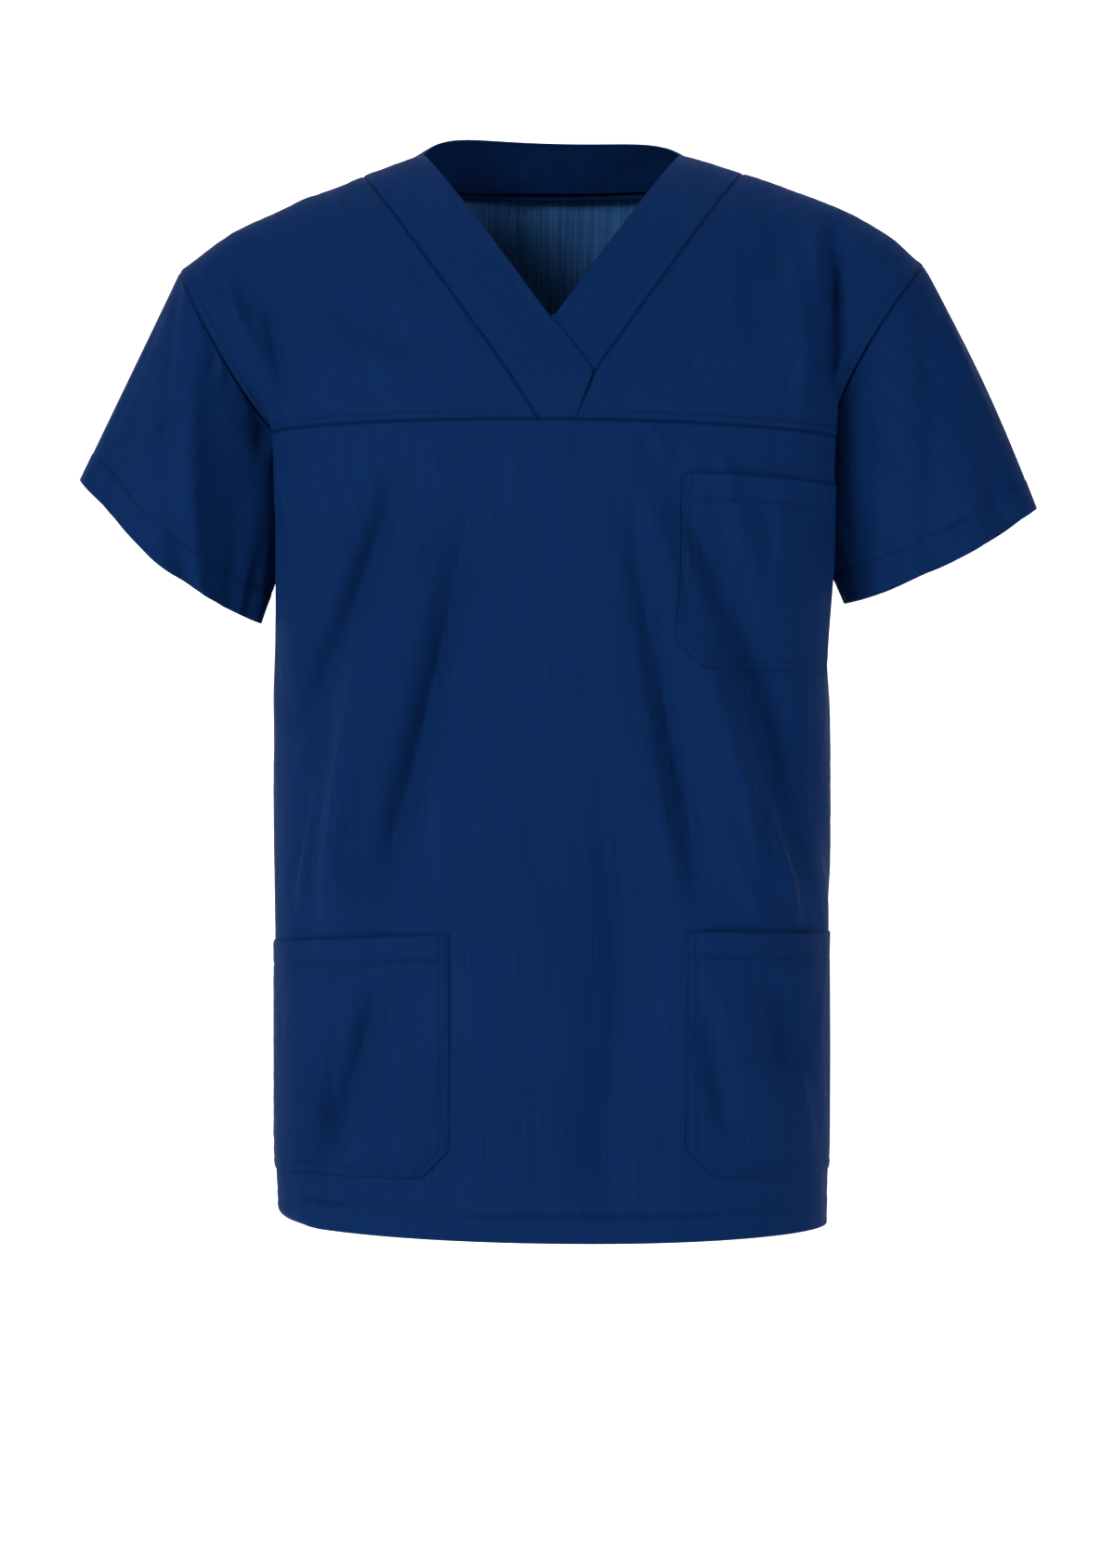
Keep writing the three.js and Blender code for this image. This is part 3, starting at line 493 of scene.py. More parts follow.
    def lap_crossing(self, turn: Array) -> Array:
        """The right edge of the upper band, which laps over the other band below the V."""
        at_lap = float(self.crossing(np.array([self.lap_turn]), 1, SEAM_LEFT)[0])
        rise = (turn - self.lap_turn) / (self.v_turn - self.lap_turn)
        above = self.crossing(turn, -1, V_EDGE)
        below = self.crossing(turn, 1, SEAM_LEFT)
        low = np.where(turn <= self.lap_turn, below, lerp(at_lap, 0, rise))
        return np.where(turn >= self.v_turn, above, low)

    def under_crossing(self, turn: Array) -> Array:
        """The inner edge of the under band, from the lap up to the shoulder."""
        return np.where(turn > self.v_turn, self.crossing(turn, 1, V_EDGE), self.lap_crossing(turn))


def graded(length: float, keep: tuple[float, ...] = (), pitch: float = PITCH) -> Array:
    """Places along a length, close together at fine ends and further apart between.

    Args:
        length: the whole length, mm.
        keep: places that must be among them.
        pitch: the spacing between the fine ends, mm.

    Returns:
        The places, from 0 to the length.
    """
    zone = min(FINE_ZONE, length / 3)
    fine = max(2, round(zone / FINE))
    last = length - zone
    middle = np.linspace(zone, last, max(2, round((last - zone) / pitch) + 1))
    ends = np.linspace(0, zone, fine + 1), np.linspace(last, length, fine + 1)
    places = np.unique(np.round(np.concatenate([ends[0], middle, ends[1]]), 6))
    for value in keep:
        places[np.argmin(np.abs(places - value))] = value
    return np.unique(places)


class Ripple:
    """Gentle uneven swelling of cloth, from a few waves with fixed random phases."""

    def __init__(self, seed: int, shortest: float, longest: float, count: int = 14) -> None:
        """Draw the waves: most run up the cloth, so that they read as soft vertical folds."""
        rng = np.random.default_rng(seed)
        length = rng.uniform(shortest, longest, count)
        lean = rng.normal(0, 0.35, count)
        self.kx = 2 * np.pi / length * np.cos(lean)
        self.ky = 2 * np.pi / length * np.sin(lean) * 0.5
        self.phase = rng.uniform(0, 2 * np.pi, count)
        self.size = rng.uniform(0.4, 1.0, count) / math.sqrt(count)

    def height(self, u: Array, v: Array) -> Array:
        """Height of the ripple, about -1 to 1."""
        waves = zip(self.kx, self.ky, self.phase, self.size)
        return sum(size * np.sin(kx * u + ky * v + phase) for kx, ky, phase, size in waves)


class Seam(Enum):
    """How an edge of a piece is finished."""

    PLAIN = 1  # a groove where two pieces meet, with the allowance turned in
    TOPSTITCHED = 2  # the same, with the allowance stitched down under this piece
    FOLDED = 3  # a rounded fold, free or laid on another piece


@dataclass
class Patch:
    """A grid of points on the cloth, with outward normals and places on the flat cloth, in millimetres."""

    points: Array
    outward: int
    closed: bool = False
    normals: Array = field(init=False)
    down: Array = field(init=False)
    along: Array = field(init=False)

    def __post_init__(self) -> None:
        """Measure the grid and find its normals."""
        p = self.points
        rows = np.gradient(p, axis=0)
        if self.closed:
            cols = np.roll(p[:, :-1], -1, axis=1) - np.roll(p[:, :-1], 1, axis=1)
            cols = np.concatenate([cols, cols[:, :1]], axis=1)
        else:
            cols = np.gradient(p, axis=1)
        n = np.cross(rows, cols) * self.outward
        self.normals = n / np.maximum(np.linalg.norm(n, axis=-1, keepdims=True), 1e-9)
        steps = np.linalg.norm(np.diff(p, axis=0), axis=-1)
        self.down = np.concatenate([np.zeros((1, p.shape[1])), np.cumsum(steps, axis=0)])
        steps = np.linalg.norm(np.diff(p, axis=1), axis=-1)
        self.along = np.concatenate([np.zeros((p.shape[0], 1)), np.cumsum(steps, axis=1)], axis=1)

    def distance(self, edge: str) -> Array:
        """Distance of every point from one edge of the piece."""
        return {
            "top": self.down,
            "bottom": self.down[-1:] - self.down,
            "left": self.along,
            "right": self.along[:, -1:] - self.along,
        }[edge]


@dataclass(frozen=True)
class PoplinFinish:
    """Fine plain-woven cotton mix with a slight sheen."""

    name: str
    colour: tuple[float, float, float]
    roughness: float = 0.55
    sheen: float = 0.04
    threads: float = 2600.0
    streaks: float = 0.13

    def material(self, groups: "FinishGroups") -> bpy.types.Material:
        """Build the material.

        Args:
            groups: the shared effects.

        Returns:
            The cloth's material.
        """
        mat = bpy.data.materials.new(self.name)
        mat.use_nodes = True
        nodes, links = mat.node_tree.nodes, mat.node_tree.links
        shader = nodes["Principled BSDF"]
        shader.inputs["Sheen Weight"].default_value = self.sheen
        shader.inputs["Sheen Roughness"].default_value = 0.45
        shader.inputs["Sheen Tint"].default_value = (0.08, 0.3, 1.0, 1.0)
        shader.inputs["Specular IOR Level"].default_value = 0.006
        cloth = nodes.new("ShaderNodeUVMap")
        cloth.uv_map = "cloth"
        weave = nodes.new("ShaderNodeGroup")
        weave.node_tree = groups.weave
        weave.inputs["Threads"].default_value = self.threads
        links.new(cloth.outputs["UV"], weave.inputs["Cloth"])
        tone = nodes.new("ShaderNodeGroup")
        tone.node_tree = groups.tone
        tone.inputs["Colour"].default_value = (*self.colour, 1.0)
        tone.inputs["Roughness"].default_value = self.roughness
        tone.inputs["Streaks"].default_value = self.streaks
        # Painted shade: darker colour along seams, stitch rows and folded edges, read from the mesh.
        painted_darkening = nodes.new("ShaderNodeAttribute")
        painted_darkening.attribute_name = "seam_painted_shade"
        links.new(painted_darkening.outputs["Fac"], tone.inputs["Wear"])
        links.new(weave.outputs["Slub"], tone.inputs["Slub"])
        bump = nodes.new("ShaderNodeBump")
        bump.inputs["Strength"].default_value = 0.5
        bump.inputs["Distance"].default_value = 0.00035
        links.new(weave.outputs["Height"], bump.inputs["Height"])
        links.new(tone.outputs["Colour"], shader.inputs["Base Color"])
        links.new(tone.outputs["Roughness"], shader.inputs["Roughness"])
        links.new(bump.outputs["Normal"], shader.inputs["Normal"])
        return mat


@dataclass(frozen=True)
class ThreadFinish:
    """Spun sewing thread, a little glossier than the cloth."""

    name: str
    colour: tuple[float, float, float]

    def material(self, groups: "FinishGroups") -> bpy.types.Material:
        """Build the material with twisted strands."""
        mat = bpy.data.materials.new(self.name)
        mat.use_nodes = True
        nodes, links = mat.node_tree.nodes, mat.node_tree.links
        shader = nodes["Principled BSDF"]
        shader.inputs["Sheen Weight"].default_value = 0.12
        shader.inputs["Sheen Tint"].default_value = (0.08, 0.3, 1.0, 1.0)
        shader.inputs["Specular IOR Level"].default_value = 0.05
        place = nodes.new("ShaderNodeTexCoord")
        noise = nodes.new("ShaderNodeTexNoise")
        noise.inputs["Scale"].default_value = 900.0
        links.new(place.outputs["Object"], noise.inputs["Vector"])
        tone = nodes.new("ShaderNodeGroup")
        tone.node_tree = groups.tone
        tone.inputs["Colour"].default_value = (*self.colour, 1.0)
        tone.inputs["Roughness"].default_value = 0.5
        tone.inputs["Streaks"].default_value = 0.3
        links.new(noise.outputs["Fac"], tone.inputs["Slub"])
        links.new(tone.outputs["Colour"], shader.inputs["Base Color"])
        links.new(tone.outputs["Roughness"], shader.inputs["Roughness"])
        return mat


# How many times the threads' unevenness changes in a metre, across and along the cloth.
WARP_SLUBS = (1500, 26, 1)
WEFT_SLUBS = (22, 1300, 1)
STRANDS = (430, 9, 1)
# How strongly the threads, the broad patches and the painted shade along seams, stitch rows and folded edges
# change the colour.
STREAK_STRENGTH = 6.0
PATCH_STRENGTH = 0.16
# Painted shade: how much darker the colour is where shade falls in seams, stitch rows and folded edges.
PAINTED_SHADE_STRENGTH = -0.42


class FinishGroups:
    """The effects that every finish shares, as shader node groups."""

    def __init__(self) -> None:
        """Build each group once."""
        self.weave = self.build_weave()
        self.tone = self.build_tone()

    @staticmethod
    def socket(tree: bpy.types.NodeTree, name: str, kind: str, way: str, value: float | None = None) -> None:
        """Add one named socket to a group."""
        made = tree.interface.new_socket(name=name, in_out=way, socket_type=f"NodeSocket{kind}")
        if value is not None:
            made.default_value = value

    @staticmethod
    def sums(
        tree: bpy.types.NodeTree, operation: str, first: Socket | float, second: Socket | float
    ) -> Socket:
        """One sum on two sockets or numbers.

        Args:
            tree: the group that the sum is made in.
            operation: the kind of sum.
            first: its first value.
            second: its second value.

        Returns:
            The result.
        """
        node = tree.nodes.new("ShaderNodeMath")
        node.operation = operation
        for i, value in enumerate((first, second)):
            if isinstance(value, (int, float)):
                node.inputs[i].default_value = value
            else:
                tree.links.new(value, node.inputs[i])
        return node.outputs[0]

    @staticmethod
    def stretched_noise(
        tree: bpy.types.NodeTree, vector: Socket, scale: tuple[float, float, float], detail: float
    ) -> Socket:
        """Noise drawn out along one way of the cloth.

        Args:
            tree: the group that the noise is made in.
            vector: places on the cloth.
            scale: how many times it changes in a metre, across and along.
            detail: how fine it is.

        Returns:
            The noise.
        """
        mapping = tree.nodes.new("ShaderNodeMapping")
        mapping.inputs["Scale"].default_value = scale
        tree.links.new(vector, mapping.inputs["Vector"])
        noise = tree.nodes.new("ShaderNodeTexNoise")
        noise.inputs["Scale"].default_value = 1.0
        noise.inputs["Detail"].default_value = detail
        tree.links.new(mapping.outputs["Vector"], noise.inputs["Vector"])
        return noise.outputs["Fac"]

    def build_weave(self) -> bpy.types.NodeTree:
        """Plain weave with uneven threads."""
        tree = bpy.data.node_groups.new("poplin_weave", "ShaderNodeTree")
        self.socket(tree, "Cloth", "Vector", "INPUT")
        self.socket(tree, "Threads", "Float", "INPUT", 2600.0)
        self.socket(tree, "Height", "Float", "OUTPUT")
        self.socket(tree, "Slub", "Float", "OUTPUT")
        start = tree.nodes.new("NodeGroupInput")
        end = tree.nodes.new("NodeGroupOutput")
        parts = tree.nodes.new("ShaderNodeSeparateXYZ")
        tree.links.new(start.outputs["Cloth"], parts.inputs[0])
        turns = self.sums(tree, "MULTIPLY", start.outputs["Threads"], math.pi)
        across = self.sums(tree, "SINE", self.sums(tree, "MULTIPLY", parts.outputs["X"], turns), 0)
        down = self.sums(tree, "SINE", self.sums(tree, "MULTIPLY", parts.outputs["Y"], turns), 0)
        over = self.sums(tree, "MULTIPLY", across, down)
        warp = self.stretched_noise(tree, start.outputs["Cloth"], WARP_SLUBS, 2)
        weft = self.stretched_noise(tree, start.outputs["Cloth"], WEFT_SLUBS, 2)
        slub = self.sums(tree, "MULTIPLY", self.sums(tree, "ADD", warp, weft), 0.5)
        rough = self.sums(tree, "MULTIPLY", slub, 2.2)
        height = self.sums(tree, "ADD", self.sums(tree, "MULTIPLY", over, 0.35), rough)
        tree.links.new(height, end.inputs["Height"])
        strand = self.stretched_noise(tree, start.outputs["Cloth"], STRANDS, 4)
        fine = self.sums(tree, "MULTIPLY", slub, 0.4)
        mixed = self.sums(tree, "ADD", fine, self.sums(tree, "MULTIPLY", strand, 0.6))
        tree.links.new(mixed, end.inputs["Slub"])
        return tree

    def build_tone(self) -> bpy.types.NodeTree:
        """Colour and roughness that change a little over the cloth and along its threads, with painted shade
        darkening it at its seams.
        """
        tree = bpy.data.node_groups.new("cloth_tone", "ShaderNodeTree")
        self.socket(tree, "Colour", "Color", "INPUT")
        self.socket(tree, "Roughness", "Float", "INPUT", 0.7)
        self.socket(tree, "Streaks", "Float", "INPUT", 0.15)
        self.socket(tree, "Slub", "Float", "INPUT", 0.5)
        self.socket(tree, "Wear", "Float", "INPUT", 0.0)
        self.socket(tree, "Colour", "Color", "OUTPUT")
        self.socket(tree, "Roughness", "Float", "OUTPUT")
        start = tree.nodes.new("NodeGroupInput")
        end = tree.nodes.new("NodeGroupOutput")
        place = tree.nodes.new("ShaderNodeTexCoord")
        broad = tree.nodes.new("ShaderNodeTexNoise")
        broad.inputs["Scale"].default_value = 7.0
        broad.inputs["Detail"].default_value = 3.0
        tree.links.new(place.outputs["Object"], broad.inputs["Vector"])
        streak = self.sums(tree, "SUBTRACT", start.outputs["Slub"], 0.5)
        streak = self.sums(tree, "MULTIPLY", streak, start.outputs["Streaks"])
        patch = self.sums(tree, "SUBTRACT", broad.outputs["Fac"], 0.5)
        patch = self.sums(tree, "MULTIPLY", patch, PATCH_STRENGTH)
        total = self.sums(tree, "ADD", self.sums(tree, "MULTIPLY", streak, STREAK_STRENGTH), patch)
        # Painted shade darkens the colour along seams, stitch rows and folded edges.
        painted_darkening = self.sums(tree, "MULTIPLY", start.outputs["Wear"], PAINTED_SHADE_STRENGTH)
        value = self.sums(tree, "ADD", self.sums(tree, "ADD", total, painted_darkening), 1.0)
        shade = tree.nodes.new("ShaderNodeHueSaturation")
        tree.links.new(start.outputs["Colour"], shade.inputs["Color"])
        tree.links.new(value, shade.inputs["Value"])
        tree.links.new(shade.outputs["Color"], end.inputs["Colour"])
        rough = self.sums(tree, "ADD", start.outputs["Roughness"], self.sums(tree, "MULTIPLY", total, -0.3))
        tree.links.new(rough, end.inputs["Roughness"])
        return tree


def deselect() -> None:
    """Leave edit mode and select nothing."""
    if bpy.context.object and bpy.context.object.mode != "OBJECT":
        bpy.ops.object.mode_set(mode="OBJECT")
    bpy.ops.object.select_all(action="DESELECT")


@dataclass(frozen=True)
class Dip:
    """What a seam or a row of stitches does to the cloth beside it, in millimetres: a dip, and a band of
    painted shade that darkens the colour where shade falls in the groove.
    """

    deep: float
    wide: float
    painted_darkening: float
    shade_wide: float
    shade_past: float = 0.0

    def press(self, height: Array, painted_shade: Array, off: Array) -> None:
        """Press the dip into the cloth and paint its shade.

        Args:
            height: the cloth's height, changed here.
            painted_shade: how much painted shade darkens the colour at each point, changed here.
            off: how far each point is from the seam or row.
        """
        height -= self.deep * np.exp(-((off / self.wide) ** 2))
        painted_darkening = self.painted_darkening * np.exp(-(((off - self.shade_past) / self.shade_wide) ** 2))
        np.maximum(painted_shade, painted_darkening, out=painted_shade)


# From the third number on, each dip is painted shade: a darker band of colour where shade falls along the
# seam, row or edge.
FOLDED_EDGE = Dip(0.6, 0.8, 0.55, 1.1)
PLAIN_SEAM = Dip(0.6, 1.0, 1.0, 1.3)
POCKET_STITCHES = Dip(0.3, 0.9, 0.5, 0.8)
TOP_STITCHES = Dip(0.22, 0.8, 0.5, 0.9, 0.4)
HEM_STITCHES = Dip(0.3, 1.1, 0.7, 0.9)


@dataclass
class ClothPiece:
    """One cut piece of cloth: a thin shell on its solid, with finished edges."""

    node: str
    patch: Patch
    finish: bpy.types.Material
    edges: dict[str, Seam]
    thickness: float = SHELL
    lift: Array | float = 0.0
    hem: float = 0.0
    lining: bpy.types.Material | None = None
    pucker: float = 0.32
    seed: int = 0
    ripples: tuple[tuple[float, float, float], ...] = ((0.75, 34, 90), (0.16, 9, 24))
    sewn: dict[str, tuple[float, ...]] = field(default_factory=dict)
    allowance: tuple[tuple[float, float], ...] = ((1.3, 1.0), (3.5, 5.0))
    final: Array = field(init=False)
    sheet: Array = field(init=False)
    obj: bpy.types.Object = field(init=False)

    def relief(self) -> tuple[Array, Array]:
        """Height of the cloth over its patch, and the painted shade at each point near seams, stitch rows and
        folded edges.
        """
        patch = self.patch
        height = np.zeros(patch.points.shape[:2]) + self.lift
        painted_shade = np.zeros_like(height)
        rng = np.random.default_rng(SEED + self.seed)
        calm = np.ones_like(height)
        for edge, seam in self.edges.items():
            off = patch.distance(edge)
            calm *= ease(off, 0, CALM_ZONE)
            if seam is Seam.FOLDED:
                FOLDED_EDGE.press(height, painted_shade, off)
                for inset in self.sewn.get(edge, ()):
                    POCKET_STITCHES.press(height, painted_shade, off - inset)
                continue
            PLAIN_SEAM.press(height, painted_shade, off)
            run = patch.along if edge in ("top", "bottom") else patch.down
            height += self.pucker * self.puffs(rng, run) * np.exp(-off / PUCKER_REACH) * ease(off, 0, 2.5)
            if seam is Seam.TOPSTITCHED:
                height += ALLOWANCE_STEP * (1 - ease(off, 5.0, 7.0)) * ease(off, 0, 1.4)
                TOP_STITCHES.press(height, painted_shade, off - ARMHOLE_ROW)
        if self.hem:
            off = patch.distance("bottom")
            calm *= ease(off, 0, self.hem)
            height += HEM_STEP * (1 - ease(off, self.hem - 1.5, self.hem + 1.0))
            HEM_STITCHES.press(height, painted_shade, off - self.hem)
            puffs = self.puffs(rng, patch.along)
            height += self.pucker * puffs * np.exp(-(((off - self.hem) / HEM_PUCKER_REACH) ** 2))
        if not patch.closed:
            for size, shortest, longest in self.ripples:
                ripple = Ripple(SEED + self.seed * 7 + round(longest), shortest, longest)
                height += size * ripple.height(patch.along, patch.down) * calm
        return height, painted_shade

    @staticmethod
    def puffs(rng: np.random.Generator, run: Array) -> Array:
        """Puckers along a line of stitching, each of its own size.

        Args:
            rng: the piece's random numbers.
            run: distances along the line.

        Returns:
            The heights, about -1 to 1.
        """
        strength = 0.35 + 0.65 * np.clip(np.sin(run / 23 + rng.uniform(0, 6)) + 0.3 * np.sin(run / 7.1), 0, 1)
        waves = [np.sin(2 * np.pi * run / length + rng.uniform(0, 6.28)) for length in PUCKER_LENGTHS]
        return 0.5 * strength * sum(waves)

    @staticmethod
    def seam_allowance(grid: Array, edge: str, steps: tuple[tuple[float, float], ...]) -> Array:
        """Carry a grid on beyond one of its edges, turned into the garment.

        Args:
            grid: for each point its place, its outward direction, its painted shade and its place on the
                cloth.
            edge: the edge to carry on.
            steps: for each new row, how far beyond the edge and how far in it lies, mm.

        Returns:
            The longer grid.
        """
        turned = grid.swapaxes(0, 1) if edge in ("left", "right") else grid
        turned = turned[::-1] if edge in ("bottom", "right") else turned
        first, second = turned[0], turned[1]
        step = first[:, :3] - second[:, :3]
        step /= np.maximum(np.linalg.norm(step, axis=-1, keepdims=True), 1e-9)
        rows = []
        for reach, sink in steps:
            row = first.copy()
            row[:, :3] += step * reach - first[:, 3:6] * sink
            row[:, 6] = 1.0
            rows.insert(0, row)
        turned = np.concatenate([np.stack(rows), turned])
        turned = turned[::-1] if edge in ("bottom", "right") else turned
        return turned.swapaxes(0, 1) if edge in ("left", "right") else turned

    def turned_hem(self, outer: Array) -> Array:
        """Rows that carry the cloth round its hem and back up inside."""
        patch = self.patch
        inward = -patch.normals[-1]
        step = outer[-1] - outer[-2]
        step /= np.linalg.norm(step, axis=-1, keepdims=True)
        gap = 2 * self.thickness + 0.3
        rows = [outer[-1] + inward * gap * 0.2 + step * 0.5, outer[-1] + inward * gap * 0.8 + step * 0.5]
        off = patch.distance("bottom")
        inside = [r for r in range(len(outer) - 1, -1, -1) if off[r].mean() <= self.hem]
        rows += [patch.points[r] - patch.normals[r] * gap for r in inside]
        return np.stack(rows)

    def build(self) -> bpy.types.Object:
        """Make the mesh from a grid primitive, give it its wall and finish it."""
        patch = self.patch
        height, painted_shade = self.relief()
        outer = patch.points + patch.normals * height[..., None]
        self.final = outer
        normals, u, v = patch.normals, patch.along - patch.along.mean(axis=1, keepdims=True), patch.down
        if self.hem:
            turned = self.turned_hem(outer)
            count = len(turned)
            outer = np.concatenate([outer, turned])
            normals = np.concatenate([normals, np.repeat(normals[-1:], count, axis=0)])
            painted_shade = np.concatenate([painted_shade, np.zeros((count, painted_shade.shape[1]))])
            u = np.concatenate([u, np.repeat(u[-1:], count, axis=0)])
            v = np.concatenate([v, v[-1:] + np.linspace(0.5, self.hem, count)[:, None]])
        grid = np.concatenate([outer, normals, painted_shade[..., None], u[..., None], v[..., None]], axis=-1)
        for edge, seam in self.edges.items():
            if seam is not Seam.FOLDED:
                grid = self.seam_allowance(grid, edge, self.allowance)
        outer, normals = grid[..., :3], grid[..., 3:6]
        painted_shade, u, v = grid[..., 6], grid[..., 7], grid[..., 8]
        self.sheet = outer
        rows, cols = outer.shape[:2]
        deselect()
        bpy.ops.mesh.primitive_grid_add(x_subdivisions=cols - 1, y_subdivisions=rows - 1, size=2)
        obj = bpy.context.object
        obj.name = self.node + "_cloth"
        obj.data.name = obj.name
        mesh = obj.data
        flat = np.empty(len(mesh.vertices) * 3)
        mesh.vertices.foreach_get("co", flat)
        flat = flat.reshape(-1, 3)
        c = np.rint((flat[:, 0] + 1) / 2 * (cols - 1)).astype(int)
        r = np.rint((1 - flat[:, 1]) / 2 * (rows - 1)).astype(int)
        mesh.vertices.foreach_set("co", (outer[r, c] * MM).ravel())
        # Painted shade along seams and edges, kept on the mesh for the finish.
        painted_darkening = mesh.attributes.new("seam_painted_shade", "FLOAT", "POINT")
        painted_darkening.data.foreach_set("value", painted_shade[r, c].astype(np.float32))
        for layer in list(mesh.uv_layers):
            mesh.uv_layers.remove(layer)
        layer = mesh.uv_layers.new(name="cloth")
        corner = np.empty(len(mesh.loops), dtype=np.int64)
        mesh.loops.foreach_get("vertex_index", corner)
        uv = np.stack([u[r, c][corner], v[r, c][corner]], -1) * MM
        layer.data.foreach_set("uv", uv.ravel())
        mesh.update()
        self.face_outwards(obj, normals[: patch.points.shape[0]], r, c)
        if patch.closed:
            bpy.ops.object.mode_set(mode="EDIT")
            bpy.ops.mesh.select_all(action="SELECT")
            bpy.ops.mesh.remove_doubles(threshold=1e-5)
            bpy.ops.object.mode_set(mode="OBJECT")
        obj.data.materials.append(self.finish)
        if self.lining:
            obj.data.materials.append(self.lining)
        wall = obj.modifiers.new("wall", "SOLIDIFY")
        wall.thickness = self.thickness * MM
        wall.offset = -1.0
        if self.lining:
            wall.material_offset = 1
        bpy.ops.object.modifier_apply(modifier=wall.name)
        bpy.ops.object.shade_smooth_by_angle(angle=math.radians(50))
        obj.location = (0, 0, 0)
        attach(obj, "root")
        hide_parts(self.node)
        self.obj = obj
        return obj

    @staticmethod
    def face_outwards(obj: bpy.types.Object, normals: Array, r: Array, c: Array) -> None:
        """Turn the faces over if they look into the garment.

        Args:
            obj: the cloth.
            normals: the outward directions of the grid.
            r: each vertex's row in the grid.
            c: its column.
        """
        votes = 0.0
        for k in range(0, len(obj.data.polygons), max(1, len(obj.data.polygons) // 400)):
            face = obj.data.polygons[k]
            i = face.vertices[0]
            if r[i] < len(normals):
                votes += face.normal.dot(Vector(normals[r[i], c[i]]))
        if votes < 0:
            bpy.ops.object.mode_set(mode="EDIT")
            bpy.ops.mesh.select_all(action="SELECT")
            bpy.ops.mesh.flip_normals()
            bpy.ops.object.mode_set(mode="OBJECT")

    def declare(self, stitching: list[bpy.types.Object]) -> None:
        """Measure the area of the sheet the piece was cut from.

        Args:
            stitching: the stitches that were sewn on it; not used.
        """
        area = flat_area(self.sheet)

    def line(self, edge: str, inset: float) -> tuple[Array, Array]:
        """Points and outward directions along a line at a distance from one edge.

        Args:
            edge: the edge that the line follows.
            inset: the distance from it, mm.

        Returns:
            The points and the directions.
        """
        off = self.patch.distance(edge)
        points, normals = self.final, self.patch.normals
        if edge in ("left", "right"):
            off, points, normals = off.T, points.swapaxes(0, 1), normals.swapaxes(0, 1)
        if edge in ("bottom", "right"):
            off, points, normals = off[::-1], points[::-1], normals[::-1]
        cols = np.arange(off.shape[1])
        i = np.clip((off < inset).sum(axis=0), 1, len(off) - 1)
        low, high = off[i - 1, cols], off[i, cols]
        t = ((inset - low) / np.maximum(high - low, 1e-9))[:, None]
        return lerp(points[i - 1, cols], points[i, cols], t), lerp(normals[i - 1, cols], normals[i, cols], t)


def flat_area(points: Array) -> float:
    """Area of a grid of points in millimetres, as square metres."""
    a, b, c, d = points[:-1, :-1], points[1:, :-1], points[1:, 1:], points[:-1, 1:]
    total = np.linalg.norm(np.cross(b - a, c - a), axis=-1).sum()
    total += np.linalg.norm(np.cross(c - a, d - a), axis=-1).sum()
    return float(total) / 2 * MM * MM


